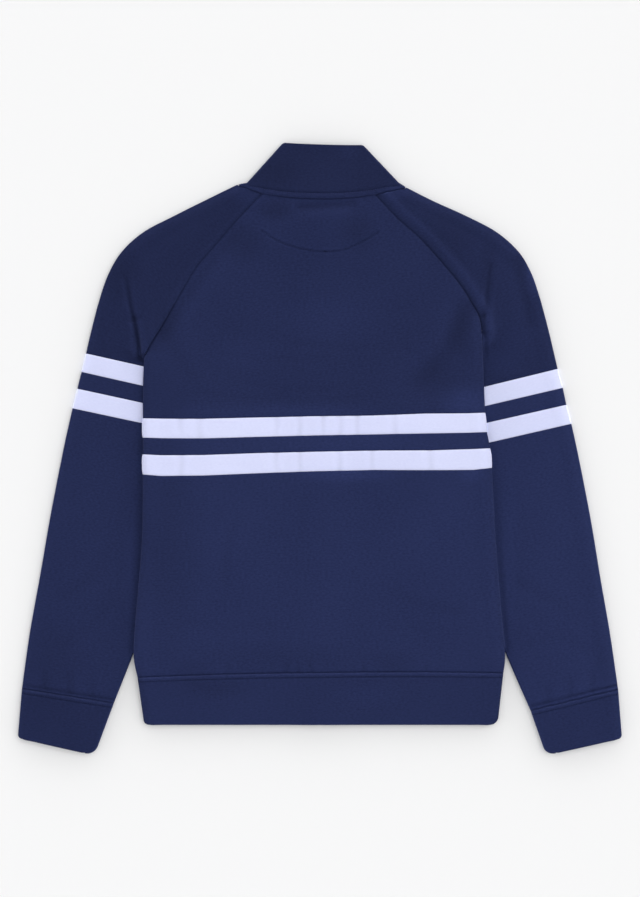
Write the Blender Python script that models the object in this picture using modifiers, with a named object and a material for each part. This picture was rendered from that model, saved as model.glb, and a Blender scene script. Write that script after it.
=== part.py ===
"""A men's track jacket in warp knit, closed by its zip and laid flat, face down, on a table.

Raglan sleeves, a stand collar, a waistband and cuffs; two contrast bands are let in round the body and two
round each sleeve. The arms lie straight down and their inner halves are under the body.

Metres. +X to the jacket's own left as it lies, +Y towards the collar, +Z up from the table at z = 0.
The origin is at the middle of the jacket's box, on the table.
"""

import math
from collections import namedtuple

import bpy
from mathutils import Matrix, Vector

# ---- driving sizes ----------------------------------------------------------------------------------
WALL = 0.0012         # one layer of knit
BAND_WALL = 0.0020    # collar, waistband and cuffs, whose cloth is folded double
SEAM = 0.0003         # gap between two pieces where they are sewn together
SLEEVE_SEAM = 0.0005  # the same round a sleeve, along Y, where its inner fold crosses the seam at a slant
RAGLAN_INSET = 0.000225   # how far a cut edge stays from a raglan seam's line, along X
EDGE_COLUMNS = (0.0040, 0.0027, 0.0014)   # insets of a panel's last columns beside a raglan seam
LOFT = 0.0028         # from the middle of the front cloth to the middle of the back cloth
SLEEVE_CROWN = 0.0008   # how much more a sleeve stands up along its middle
LOBE_LOFT = 0.0020    # the same distance where a sleeve is pressed flat under the body
LOBE_LIFT = 0.0036    # the body's underside above the table where it lies on a sleeve
LOBE_MARGIN = 0.018   # the body stays at that height this far past the sleeve's edge
LOBE_RAMP = 0.030     # and comes down to the table over this length
SEAM_RAMP = 0.030     # a sleeve leaves the body's height over this length
ARMPIT_TURN = 0.9     # how far the body's cut edges have turned towards each other at the armpit
ZIP_EDGE = 0.005      # the fronts stop this far from the middle of the zip
ZIP_RIDGE = 0.0016    # how far the zip lifts the back that lies on it
ZIP_RIDGE_REACH = 0.050
TAPE_WIDTH = 0.013    # one zip tape
TAPE_WALL = 0.0010
TAPE_BOTTOM = 0.0023  # underside of the tapes above the table
SLIDER_Y = 0.2925     # middle of the slider, at the top of the collar's front
SLIDER_LIFT = 0.0026  # how far the slider and its bridge lift the collar's front off the table
SLIDER_REACH_X = 0.045
SLIDER_REACH_Y = 0.055
SLIDER_BUMP = 0.0022  # how much further the slider lifts the back above it
COLLAR_END_Y = 0.3005   # top of the collar at the middle of the front
HEM_Y = -0.3495

NAVY = (0.019, 0.026, 0.082)
PALE = (0.70, 0.73, 0.98)
ZIP_BLUE = (0.014, 0.020, 0.060)
NICKEL = (0.55, 0.55, 0.56)

# ---- cut lines --------------------------------------------------------------------------------------
# Both raglan seams of the back and of the fronts, from the neck to the armpit, at equal steps.
Raglan = namedtuple("Raglan", "left_x left_y right_x right_y")
BACK_RAGLAN = (
    Raglan(-0.0733, 0.3215, 0.0700, 0.3203),
    Raglan(-0.1057, 0.2874, 0.0980, 0.2905),
    Raglan(-0.1340, 0.2545, 0.1260, 0.2655),
    Raglan(-0.1571, 0.2275, 0.1520, 0.2370),
    Raglan(-0.1804, 0.1886, 0.1750, 0.2095),
    Raglan(-0.1978, 0.1580, 0.1915, 0.1850),
    Raglan(-0.2120, 0.1350, 0.2020, 0.1655),
    Raglan(-0.2220, 0.1170, 0.2050, 0.1460),
)
FRONT_RAGLAN = (
    Raglan(-0.0920, 0.2920, 0.0920, 0.2920),
    Raglan(-0.1170, 0.2640, 0.1130, 0.2720),
    Raglan(-0.1410, 0.2380, 0.1350, 0.2505),
    Raglan(-0.1610, 0.2140, 0.1560, 0.2260),
    Raglan(-0.1820, 0.1810, 0.1765, 0.2010),
    Raglan(-0.1985, 0.1540, 0.1920, 0.1800),
    Raglan(-0.2120, 0.1335, 0.2020, 0.1625),
    Raglan(-0.2220, 0.1170, 0.2050, 0.1460),
)
# The shoulder and outer edge of each sleeve beside those steps.
SHOULDER = (
    Raglan(-0.1055, 0.3310, 0.1105, 0.3280),
    Raglan(-0.1447, 0.3135, 0.1447, 0.3130),
    Raglan(-0.1854, 0.2932, 0.1854, 0.2932),
    Raglan(-0.2235, 0.2730, 0.2235, 0.2730),
    Raglan(-0.2510, 0.2480, 0.2510, 0.2485),
    Raglan(-0.2685, 0.2180, 0.2665, 0.2230),
    Raglan(-0.2806, 0.1820, 0.2765, 0.1955),
    Raglan(-0.2910, 0.1416, 0.2840, 0.1690),
)
RAGLAN_STEPS = (0.0, 0.07, 0.14, 0.25, 0.38, 0.51, 0.64, 0.76, 0.88, 1.0)
NECK_SAG = 0.0065       # the back neck's dip below the line between its ends
ZIP_AT_NECK = 0.2402    # where the front neck seam meets the zip
ZIP_AT_ARMPIT = 0.1280
NECK_SCOOP = 1.8        # how sharply the front neck turns up towards the shoulder

# The two side edges of the body below the armpits; sag is the dip of the line between them.
Side = namedtuple("Side", "name left_x left_y right_x right_y sag")
SIDES = (
    Side("armpit", -0.2220, 0.1170, 0.2050, 0.1460, 0.0),
    Side("chest", -0.2237, 0.0780, 0.2068, 0.0930, 0.0005),
    Side("upper_top", -0.2237, 0.0374, 0.2087, 0.0440, 0.0009),
    Side("upper_bottom", -0.2237, 0.0145, 0.2112, 0.0205, 0.0006),
    Side("lower_top", -0.2238, -0.0081, 0.2148, -0.0013, 0.0005),
    Side("lower_bottom", -0.2240, -0.0320, 0.2172, -0.0246, 0.0003),
    Side("waist", -0.2252, -0.1175, 0.2222, -0.1175, 0.0),
    Side("hip", -0.2316, -0.1972, 0.2285, -0.1972, 0.0),
    Side("notch", -0.2356, -0.2579, 0.2338, -0.2579, -0.0010),
    Side("waist_seam", -0.2307, -0.2895, 0.2307, -0.2840, -0.0027),
)
HEM = Side("hem", -0.2225, HEM_Y, 0.2237, HEM_Y, 0.0)

# Each sleeve below the armpit: its outer edge, its inner edge (under the body from the bands to the notch),
# and the distance between its two layers at the inner edge.
Cut = namedtuple("Cut", "name outer_x outer_y inner_x inner_y loft")
LEFT_SLEEVE = (
    Cut("armpit", -0.2910, 0.1416, -0.2220, 0.1170, LOFT),
    Cut("under", -0.2937, 0.1300, -0.2236, 0.1105, LOBE_LOFT),
    Cut("upper_top", -0.2960, 0.1196, -0.2030, 0.0986, LOBE_LOFT),
    Cut("upper_bottom", -0.3017, 0.0963, -0.1720, 0.0670, LOBE_LOFT),
    Cut("lower_top", -0.3070, 0.0750, -0.1505, 0.0410, LOBE_LOFT),
    Cut("lower_bottom", -0.3130, 0.0503, -0.1410, 0.0136, LOBE_LOFT),
    Cut("elbow", -0.3236, 0.0000, -0.1550, -0.0385, LOBE_LOFT),
    Cut("forearm", -0.3394, -0.0809, -0.1820, -0.1135, LOBE_LOFT),
    Cut("lower_arm", -0.3533, -0.1618, -0.2100, -0.1886, LOBE_LOFT),
    Cut("notch", -0.3665, -0.2353, -0.2357, -0.2590, 0.0022),
    Cut("cuff_seam", -0.3746, -0.3034, -0.2620, -0.3217, LOFT),
)
RIGHT_SLEEVE = (
    Cut("armpit", 0.2840, 0.1690, 0.2050, 0.1460, LOFT),
    Cut("under", 0.2910, 0.1416, 0.2078, 0.1190, LOBE_LOFT),
    Cut("upper_top", 0.3001, 0.1004, 0.1900, 0.0733, LOBE_LOFT),
    Cut("upper_bottom", 0.3065, 0.0756, 0.1630, 0.0419, LOBE_LOFT),
    Cut("lower_top", 0.3113, 0.0547, 0.1470, 0.0173, LOBE_LOFT),
    Cut("lower_bottom", 0.3174, 0.0297, 0.1410, -0.0107, LOBE_LOFT),
    Cut("elbow", 0.3270, -0.0160, 0.1580, -0.0540, LOBE_LOFT),
    Cut("forearm", 0.3415, -0.0920, 0.1850, -0.1245, LOBE_LOFT),
    Cut("lower_arm", 0.3550, -0.1700, 0.2120, -0.1970, LOBE_LOFT),
    Cut("notch", 0.3665, -0.2340, 0.2342, -0.2580, 0.0022),
    Cut("cuff_seam", 0.3742, -0.3038, 0.2690, -0.3300, LOFT),
)
LEFT_CUFF_END = Cut("cuff_end", -0.3803, -0.3655, -0.2825, -0.3840, LOFT)
RIGHT_CUFF_END = Cut("cuff_end", 0.3803, -0.3660, 0.2840, -0.3850, LOFT)

# The collar: where its two side folds start and end, and the pull of the top edge down to the zip.
COLLAR_FOLD_LOW = ((-0.0965, 0.3306), (0.1030, 0.3296))
COLLAR_FOLD_TOP = ((-0.0485, 0.3849), (0.0575, 0.3826))
COLLAR_TOP_PULL = ((0.0560, 0.3350), (0.0400, 0.3030))
COLLAR_SEAM = 0.0004      # gap at the neck seam, measured along the slanted columns of the collar
COLLAR_CORNER = 0.0035    # the front neck seam's end, past the last column of the front
COLLAR_EVENNESS = 0.8     # below 1 the front's columns crowd towards the side fold at the top

# Places across the body from its left to its right side, and across a front from the zip to the side.
ACROSS = (0.0, 0.04, 0.085, 0.13, 0.175, 0.22, 0.28, 0.37, 0.455, 0.5)
ACROSS = ACROSS + tuple(1.0 - s for s in reversed(ACROSS[:-1]))
FRONT_ACROSS = (0.0, 0.07, 0.18, 0.32, 0.44, 0.54, 0.64, 0.74, 0.83, 0.92, 1.0)
SLEEVE_ACROSS = (0.0, 0.12, 0.28, 0.46, 0.64, 0.83, 1.0)
WAIST_BACK_ACROSS = (0.0, *ACROSS[1:-1:2], 1.0)
WAIST_FRONT_ACROSS = (0.0, 0.08, 0.25, 0.42, 0.58, 0.70, 0.80, 0.90, 1.0)
BAND_ROWS = (0.0, 0.35, 0.70, 1.0)     # places along a doubled band from its seam to its free edge
SEAM_TURNS = (0.0, 45.0, 90.0)         # degrees, points of a side fold's curve down to its seam
FOLD_TURNS = (45.0, 90.0, 135.0)       # the same of a fold with no seam, between its two flat layers
UP, DOWN = 1, -1                       # the layer that faces up, and the one that faces the table


# ---- curves and heights -----------------------------------------------------------------------------
def mix(a, b, t):
    return a + (b - a) * t


def ease(t):
    """Smooth step from 0 at t = 0 to 1 at t = 1."""
    t = min(max(t, 0.0), 1.0)
    return t * t * (3.0 - 2.0 * t)


def bump(t):
    """Soft hill: 1 at t = 0, level there, and 0 from t = 1 on."""
    return (1.0 - min(abs(t), 1.0) ** 2) ** 2


def along(rows, t):
    """A smooth curve through rows of numbers at equal steps, for t from 0 to 1."""
    last = len(rows) - 1
    i = min(int(t * last), last - 1)
    f = t * last - i
    before, start = rows[max(i - 1, 0)], rows[i]
    end, after = rows[i + 1], rows[min(i + 2, last)]
    return tuple(
        0.5 * (2 * q + (r - p) * f + (2 * p - 5 * q + 4 * r - s) * f * f + (3 * q - p - 3 * r + s) * f ** 3)
        for p, q, r, s in zip(before, start, end, after)
    )


def numbers(rows):
    """The rows of a table without their names."""
    return [tuple(v for v in row if not isinstance(v, str)) for row in rows]


def place(rows, name):
    """How far along a table, from 0 to 1, its named row is."""
    return [row.name for row in rows].index(name) / (len(rows) - 1)


def steps(start, end, count):
    return [mix(start, end, k / count) for k in range(count + 1)]


def hidden_edge(cuts):
    """Points along the part of a sleeve's inner edge that lies under the body."""
    points = []
    for t in steps(place(cuts, "under"), place(cuts, "notch"), 54):
        row = along(numbers(cuts), t)
        points.append((row[2], row[3]))
    return points


HIDDEN_EDGES = (hidden_edge(LEFT_SLEEVE), hidden_edge(RIGHT_SLEEVE))


def beyond_sleeve(x, y):
    """Distance from a place under the body to the nearer sleeve's hidden part, 0 on it."""
    edge = HIDDEN_EDGES[0] if x < 0 else HIDDEN_EDGES[1]
    nearest = min(math.hypot(x - px, y - py) for px, py in edge)
    below = [abs(px) for px, py in edge if abs(py - y) < 0.006]
    return 0.0 if below and abs(x) > min(below) else nearest


def slider_lift(x, y):
    return bump(x / SLIDER_REACH_X) * bump((y - SLIDER_Y) / SLIDER_REACH_Y)


def front_height(x, y):
    """Height of the middle of the cloth that faces the table."""
    lobe = LOBE_LIFT * ease(1.0 - (beyond_sleeve(x, y) - LOBE_MARGIN) / LOBE_RAMP)
    return WALL / 2 + lobe + SLIDER_LIFT * slider_lift(x, y)


def back_height(x, y):
    """Height of the middle of the cloth that faces up."""
    zip_ridge = ZIP_RIDGE * bump(x / ZIP_RIDGE_REACH)
    return front_height(x, y) + LOFT + zip_ridge + SLIDER_BUMP * slider_lift(x, y)


# ---- sheets of cloth --------------------------------------------------------------------------------
def material(name, color, roughness, metallic=0.0):
    made = bpy.data.materials.new(name)
    made.use_nodes = True
    shader = made.node_tree.nodes["Principled BSDF"]
    shader.inputs["Base Color"].default_value = (*color, 1.0)
    shader.inputs["Roughness"].default_value = roughness
    shader.inputs["Metallic"].default_value = metallic
    made.diffuse_color = (*color, 1.0)
    return made


def add_object(name, mesh, look):
    made = bpy.data.objects.new(name, mesh)
    made.data.materials.append(look)
    parts.objects.link(made)
    return made


def grid_faces(rows, columns, closed=False):
    """Quads of a grid; a closed one joins its last column to its first."""
    faces = []
    for r in range(rows - 1):
        for c in range(columns if closed else columns - 1):
            d = (c + 1) % columns
            faces.append((r * columns + c, r * columns + d, (r + 1) * columns + d, (r + 1) * columns + c))
    return faces


def cloth(name, points, faces, wall, look):
    """A piece of cloth: an open sheet through its points, made solid by half its wall to each side."""
    mesh = bpy.data.meshes.new(name)
    mesh.from_pydata(points, [], faces)
    mesh.shade_smooth()
    made = add_object(name, mesh, look)
    solid = made.modifiers.new("wall", "SOLIDIFY")
    solid.thickness = wall
    solid.offset = 0.0
    solid.use_even_offset = False
    solid.use_quality_normals = True
    return made


def fold_steps(half, wall):
    """Inset from the side and drop from the flat cloth along the half of a side fold down to its seam."""
    straight = SEAM
    rise = half - straight - SEAM / 2
    rows = [
        (wall / 2 + half * (1.0 - math.sin(math.radians(a))), rise * (1.0 - math.cos(math.radians(a))))
        for a in SEAM_TURNS
    ]
    return rows + [(wall / 2, half - SEAM / 2)]


def edge_steps(folded):
    """The last columns of a body panel: flat beside a raglan seam, turned down at a side fold."""
    flat = [(inset, 0.0) for inset in (*EDGE_COLUMNS, RAGLAN_INSET)]
    turned = fold_steps(LOFT / 2, WALL)
    return [(mix(a, c, folded), mix(b, d, folded)) for (a, b), (c, d) in zip(flat, turned)]


# ---- body: back and fronts --------------------------------------------------------------------------
BodyRow = namedtuple("BodyRow", "left_x left_y right_x right_y sag folded")


def armpit_turn(t):
    """How far a panel's edge turns to its neighbour at a place along the raglan seam, from 0 to 1."""
    return ARMPIT_TURN * ease((t - 0.55) / 0.45)


def raglan_rows(table):
    """Body rows from the neck to the armpit."""
    rows = []
    for t in RAGLAN_STEPS:
        left_x, left_y, right_x, right_y = along(table, t)
        sag = NECK_SAG * (1.0 - t) ** 2
        rows.append(BodyRow(left_x, left_y, right_x, right_y, sag, armpit_turn(t)))
    return rows


def side_rows(start, end, count):
    """Body rows between two named lines below the armpit."""
    rows = []
    for t in steps(place(SIDES, start), place(SIDES, end), count):
        left_x, left_y, right_x, right_y, sag = along(numbers(SIDES), t)
        rows.append(BodyRow(left_x, left_y, right_x, right_y, sag, 1.0))
    return rows


def seam_ends(rows, top, bottom):
    """Rows with the first and last moved half a seam gap into the piece, where it has a neighbour."""
    rows = list(rows)
    for index, shift in ((0, -SEAM / 2 if top else 0.0), (-1, SEAM / 2 if bottom else 0.0)):
        row = rows[index]
        rows[index] = row._replace(left_y=row.left_y + shift, right_y=row.right_y + shift)
    return rows


def back_point(row, s, left_inset=0.0, right_inset=0.0):
    x = mix(row.left_x + left_inset, row.right_x - right_inset, s)
    y = mix(row.left_y, row.right_y, s) - row.sag * 4 * s * (1 - s)
    return x, y


def back_row_points(row):
    edge = edge_steps(row.folded)
    flat = edge[0][0]
    points = []
    for inset, drop in reversed(edge[1:]):
        x, y = back_point(row, 0.0, inset)
        points.append((x, y, back_height(x, y) - drop))
    for s in ACROSS:
        x, y = back_point(row, s, flat, flat)
        points.append((x, y, back_height(x, y)))
    for inset, drop in edge[1:]:
        x, y = back_point(row, 1.0, 0.0, inset)
        points.append((x, y, back_height(x, y) - drop))
    return points


def back_piece(name, rows, look):
    points = [p for row in rows for p in back_row_points(row)]
    cloth(name, points, grid_faces(len(rows), len(points) // len(rows)), WALL, look)


def front_row_points(side, row, zip_y, scoop):
    """One row of a front, from the zip to the side; side is -1 for the left front and 1 for the right."""
    side_x, side_y = (row.left_x, row.left_y) if side < 0 else (row.right_x, row.right_y)
    edge = edge_steps(row.folded)
    points = []
    for s in FRONT_ACROSS:
        x = mix(side * ZIP_EDGE, side_x - side * edge[0][0], s)
        y = mix(zip_y, side_y, s ** scoop)
        points.append((x, y, front_height(x, y)))
    for inset, drop in edge[1:]:
        x = side_x - side * inset
        points.append((x, side_y, front_height(x, side_y) + drop))
    return points


def front_zip_y(row, t=None):
    """Height on the zip of a front's row; t is its place along the raglan seam, where it is beside one."""
    if t is not None:
        return mix(ZIP_AT_NECK, ZIP_AT_ARMPIT, t)
    middle = (row.left_y + row.right_y) / 2 - row.sag
    armpit = (SIDES[0].left_y + SIDES[0].right_y) / 2
    return middle - (armpit - ZIP_AT_ARMPIT) * ease(1.0 - (armpit - middle) / 0.06)


def front_piece(name, side, rows, look):
    """rows is a list of (body row, place along the raglan seam or None)."""
    points = []
    for row, t in rows:
        scoop = 1.0 if t is None else 1.0 + NECK_SCOOP * (1.0 - t) ** 2
        points += front_row_points(side, row, front_zip_y(row, t), scoop)
    cloth(name, points, grid_faces(len(rows), len(points) // len(rows)), WALL, look)


def round_points(row, wall, front_across, back_across):
    """Once round the body at one height: left front, side fold, back, side fold, right front."""
    rise = (wall - WALL) / 2
    half = LOFT / 2
    inset = wall / 2 + half
    zip_y = front_zip_y(row)
    halves = []
    for side, side_x, side_y in ((-1, row.left_x, row.left_y), (1, row.right_x, row.right_y)):
        points = []
        for s in front_across:
            x = mix(side * ZIP_EDGE, side_x - side * inset, s)
            y = mix(zip_y, side_y, s)
            points.append((x, y, front_height(x, y) + rise))
        for degrees in reversed(FOLD_TURNS):
            turn = math.radians(degrees)
            x = side_x - side * (inset - half * math.sin(turn))
            z = front_height(x, side_y) + rise + half + half * math.cos(turn)
            points.append((x, side_y, z))
        halves.append(points)
    back = []
    for s in back_across:
        x, y = back_point(row, s, inset, inset)
        back.append((x, y, back_height(x, y) + rise))
    return halves[0] + back + list(reversed(halves[1]))


def round_piece(name, rows, wall, front_across, back_across, look):
    """A length of knit that runs round the body from one zip edge to the other."""
    grid = [round_points(row, wall, front_across, back_across) for row in rows]
    cloth(name, [p for points in grid for p in points], grid_faces(len(grid), len(grid[0])), wall, look)


# The strips let in round the body and round each sleeve, between these lines of their tables.
Strip = namedtuple("Strip", "name top bottom is_band")
STRIPS = (
    Strip("band_upper", "upper_top", "upper_bottom", True),
    Strip("middle", "upper_bottom", "lower_top", False),
    Strip("band_lower", "lower_top", "lower_bottom", True),
)


def build_body(navy, pale):
    chest = side_rows("armpit", "upper_top", 5)[1:]
    lower = seam_ends(side_rows("lower_bottom", "waist_seam", 10), True, True)
    back_piece("back_upper", seam_ends(raglan_rows(BACK_RAGLAN) + chest, True, True), navy)
    back_piece("back_lower", lower, navy)
    for side, label in ((-1, "front_left_"), (1, "front_right_")):
        upper = seam_ends(raglan_rows(FRONT_RAGLAN) + chest, True, True)
        places = list(RAGLAN_STEPS) + [None] * len(chest)
        front_piece(label + "upper", side, list(zip(upper, places)), navy)
        front_piece(label + "lower", side, [(row, None) for row in lower], navy)
    for strip in STRIPS:
        rows = seam_ends(side_rows(strip.top, strip.bottom, 1), True, True)
        look = pale if strip.is_band else navy
        round_piece("body_" + strip.name, rows, WALL, FRONT_ACROSS, ACROSS, look)


# ---- sleeves and cuffs ------------------------------------------------------------------------------
Ring = namedtuple("Ring", "outer back front loft closed wall rise")


def raglan_rings(side):
    """Sleeve rows from the neck to the armpit, open where the raglan seams are."""
    rings = []
    for t in RAGLAN_STEPS:
        corners = []
        for table in (SHOULDER, BACK_RAGLAN, FRONT_RAGLAN):
            left_x, left_y, right_x, right_y = along(table, t)
            corners.append(Vector((left_x, left_y) if side < 0 else (right_x, right_y)))
        gap = Vector((side * RAGLAN_INSET, 0.0))
        rings.append(Ring(corners[0], corners[1] + gap, corners[2] + gap, LOFT, False, WALL, 0.0))
    return rings


def arm_rings(cuts, start, end, count):
    """Sleeve rows between two named lines below the armpit, closed round the arm."""
    rings = []
    for t in steps(place(cuts, start), place(cuts, end), count):
        outer_x, outer_y, inner_x, inner_y, loft = along(numbers(cuts), t)
        inner = Vector((inner_x, inner_y))
        rings.append(Ring(Vector((outer_x, outer_y)), inner, inner, loft, True, WALL, 0.0))
    return rings


def ring_ends(rings, top, bottom):
    """Rings with the first and last moved half a seam gap into the piece, where it has a neighbour."""
    rings = list(rings)
    for index, shift in ((0, -SLEEVE_SEAM / 2 if top else 0.0), (-1, SLEEVE_SEAM / 2 if bottom else 0.0)):
        move, ring = Vector((0.0, shift)), rings[index]
        rings[index] = ring._replace(outer=ring.outer + move, back=ring.back + move, front=ring.front + move)
    return rings


def body_edge(y):
    """How far from the middle the body's side reaches at a height, by its nearest line, on the wider side."""
    rows = sorted(SIDES, key=lambda row: abs(row.left_y - y))
    return min(abs(rows[0].left_x), rows[0].right_x)


def sleeve_loft(ring, s, x):
    """Distance between the two layers of a sleeve, from its outer edge (s = 0) to its inner one (s = 1)."""
    if not ring.closed:
        return LOFT + SLEEVE_CROWN * math.sin(math.pi * s) ** 2
    reach = abs(ring.outer.x) - max(body_edge(ring.back.y) + 0.006, abs(ring.back.x))
    shown = min(1.0, (abs(ring.outer.x) - abs(x)) / max(reach, 0.001))
    return mix(LOFT, ring.loft, ease(shown)) + SLEEVE_CROWN * math.sin(math.pi * shown) ** 2


def layer_points(ring, layer, seam_height):
    """One layer of a ring from its outer to its inner edge; seam_height is its height at the body."""
    inner = ring.back if layer == UP else ring.front
    direction = (inner - ring.outer).normalized()
    length = (inner - ring.outer).length
    start = ring.wall / 2 + LOFT / 2
    end = length - (ring.wall / 2 + ring.loft / 2 if ring.closed else 0.0)
    points = []
    for s in SLEEVE_ACROSS:
        distance = mix(start, end, s)
        flat = ring.outer + direction * distance
        height = WALL / 2 + (sleeve_loft(ring, s, flat.x) if layer == UP else 0.0)
        if seam_height is not None:
            height = mix(seam_height, height, ease((end - distance) / SEAM_RAMP))
        points.append(Vector((flat.x, flat.y, height + ring.rise)))
    return points


def ring_points(ring, seam_heights=(None, None)):
    """A ring from the back's inner edge over the outer fold to the front's inner edge, and its inner fold."""
    upper = layer_points(ring, UP, seam_heights[0])
    lower = layer_points(ring, DOWN, seam_heights[1])
    points = list(reversed(upper))
    outward = ((upper[0] - upper[1]).normalized() + (lower[0] - lower[1]).normalized()).normalized()
    middle = (upper[0] + lower[0]) / 2
    half = (upper[0].z - lower[0].z) / 2
    for angle in FOLD_TURNS:
        a = math.radians(angle)
        points.append(middle + outward * half * math.sin(a) + Vector((0.0, 0.0, half * math.cos(a))))
    points += lower
    inward = Vector((upper[-1].x - upper[-2].x, upper[-1].y - upper[-2].y, 0.0)).normalized()
    half = (upper[-1].z - lower[-1].z) / 2
    reach = half if ring.closed else -(ring.wall / 2 + SEAM)
    points.append((upper[-1] + lower[-1]) / 2 + inward * reach)
    return points


def seam_heights(ring, turn, fade):
    """Heights of both layers where they meet the body; fade takes them back to the sleeve's own."""
    heights = []
    for layer, corner in ((UP, ring.back), (DOWN, ring.front)):
        own = WALL / 2 + (ring.loft if layer == UP else 0.0)
        body = (back_height if layer == UP else front_height)(corner.x, corner.y)
        body -= layer * turn * (LOFT - LOBE_LOFT) / 2
        heights.append(mix(own, body, fade))
    return heights


def sleeve_cap(name, side, cuts, look):
    """The top of a sleeve: open along the raglan seams, then a short tube below the armpit."""
    open_rings = raglan_rings(side)
    tube = arm_rings(cuts, "armpit", "upper_top", 4)[1:]
    rings = ring_ends(open_rings + tube, True, True)
    turns = [armpit_turn(t) for t in RAGLAN_STEPS] + [ARMPIT_TURN] * len(tube)
    fades = [1.0] * len(open_rings) + [0.35, 0.0, 0.0, 0.0]
    points = []
    for ring, turn, fade in zip(rings, turns, fades):
        points += ring_points(ring, seam_heights(ring, turn, fade) if fade else (None, None))
    columns = len(points) // len(rings)
    faces = []
    for index, face in enumerate(grid_faces(len(rings), columns, True)):
        row, column = divmod(index, columns)
        joins_layers = column >= columns - 2
        if not (joins_layers and row < len(open_rings) - 1):
            faces.append(face)
    used = sorted({v for face in faces for v in face})
    renumbered = {v: k for k, v in enumerate(used)}
    faces = [tuple(renumbered[v] for v in face) for face in faces]
    cloth(name, [points[v] for v in used], faces, WALL, look)


def sleeve_tube(name, rings, look):
    rings = ring_ends(rings, True, True)
    points = [p for ring in rings for p in ring_points(ring)]
    faces = grid_faces(len(rings), len(points) // len(rings), True)
    cloth(name, points, faces, rings[0].wall, look)


def build_sleeves(navy, pale):
    for side, label, cuts, cuff_end in (
        (-1, "left", LEFT_SLEEVE, LEFT_CUFF_END),
        (1, "right", RIGHT_SLEEVE, RIGHT_CUFF_END),
    ):
        sleeve_cap(f"sleeve_{label}_upper", side, cuts, navy)
        for strip in STRIPS:
            rings = arm_rings(cuts, strip.top, strip.bottom, 2)
            sleeve_tube(f"sleeve_{label}_{strip.name}", rings, pale if strip.is_band else navy)
        sleeve_tube(f"sleeve_{label}_lower", arm_rings(cuts, "lower_bottom", "cuff_seam", 8), navy)
        seam_ring = arm_rings(cuts, "notch", "cuff_seam", 1)[-1]
        rings = []
        for t in BAND_ROWS:
            outer = seam_ring.outer.lerp(Vector((cuff_end.outer_x, cuff_end.outer_y)), t)
            inner = seam_ring.back.lerp(Vector((cuff_end.inner_x, cuff_end.inner_y)), t)
            rise = (BAND_WALL - WALL) / 2
            rings.append(Ring(outer, inner, inner, LOFT, True, BAND_WALL, rise))
        sleeve_tube(f"cuff_{label}", rings, navy)


# ---- collar and waistband ---------------------------------------------------------------------------
def collar_column(low, top, height, outward=None, turn=None):
    """Points from the neck seam up to the collar's top edge; turn is the angle round a side fold."""
    rise = (BAND_WALL - WALL) / 2
    low, top = Vector(low), Vector(top)
    low = low + (top - low).normalized() * COLLAR_SEAM
    column = []
    for t in BAND_ROWS:
        x, y = low.lerp(top, t)
        if turn is None:
            column.append((x, y, height(x, y) + rise))
        else:
            half = LOFT / 2
            swing = outward * half * math.sin(turn)
            z = front_height(x, y) + half + half * math.cos(turn) + rise
            column.append((x + swing.x, y + swing.y, z))
    return column


def collar_front(side, fold_low, fold_top):
    """Columns of one front half of the collar, from the zip to its side fold."""
    neck = BodyRow(*along(FRONT_RAGLAN, 0.0), 0.0, 0.0)
    scoop = 1.0 + NECK_SCOOP
    lows = [Vector(p[:2]) for p in front_row_points(side, neck, ZIP_AT_NECK, scoop)[: len(FRONT_ACROSS)]]
    corner = lows[-1] + Vector((side * COLLAR_CORNER, 0.0))
    lows.append(corner)
    lows += [corner.lerp(fold_low, t) for t in (0.5, 1.0)]
    lengths = [0.0]
    for a, b in zip(lows, lows[1:]):
        lengths.append(lengths[-1] + (b - a).length)
    pull = [Vector((side * x, y)) for x, y in COLLAR_TOP_PULL]
    end = Vector((side * ZIP_EDGE, COLLAR_END_Y))
    columns = []
    for low, length in zip(lows, lengths):
        t = (1.0 - length / lengths[-1]) ** COLLAR_EVENNESS
        top = (
            fold_top * (1 - t) ** 3 + pull[0] * 3 * t * (1 - t) ** 2
            + pull[1] * 3 * t * t * (1 - t) + end * t ** 3
        )
        columns.append(collar_column(low, top, front_height))
    return columns


def build_collar(look):
    inset = BAND_WALL / 2 + LOFT / 2
    folds = []
    for low, top in zip(COLLAR_FOLD_LOW, COLLAR_FOLD_TOP):
        low, top = Vector(low), Vector(top)
        outward = Vector((low.y - top.y, top.x - low.x)).normalized()
        outward = outward if outward.x * low.x > 0 else -outward
        folds.append((low - outward * inset, top - outward * inset, outward))
    (left_low, left_top, left_out), (right_low, right_top, right_out) = folds
    columns = collar_front(-1, left_low, left_top)
    for degrees in reversed(FOLD_TURNS):
        turn = math.radians(degrees)
        columns.append(collar_column(left_low, left_top, None, left_out, turn))
    neck = raglan_rows(BACK_RAGLAN)[0]
    flat = edge_steps(0.0)[0][0]
    seam = [Vector(back_point(neck, s, flat, flat)) for s in ACROSS]
    corners = [Vector((neck.left_x, neck.left_y)), Vector((neck.right_x, neck.right_y))]
    lows = [left_low, corners[0]] + seam + [corners[1], right_low]
    span = right_low.x - left_low.x
    for low in lows:
        top = left_top.lerp(right_top, (low.x - left_low.x) / span)
        columns.append(collar_column(low, top, back_height))
    for degrees in FOLD_TURNS:
        turn = math.radians(degrees)
        columns.append(collar_column(right_low, right_top, None, right_out, turn))
    columns += reversed(collar_front(1, right_low, right_top))
    points = [p for column in columns for p in column]
    cloth("collar", points, grid_faces(len(columns), len(BAND_ROWS)), BAND_WALL, look)


def waistband_row(t):
    """The waistband's line from the seam (t = 0) to the hem (t = 1)."""
    seam = SIDES[-1]
    shift = -SEAM / 2
    return BodyRow(
        mix(seam.left_x, HEM.left_x, t), mix(seam.left_y + shift, HEM.left_y, t),
        mix(seam.right_x, HEM.right_x, t), mix(seam.right_y + shift, HEM.right_y, t),
        mix(seam.sag, HEM.sag, t), 1.0,
    )


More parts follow.
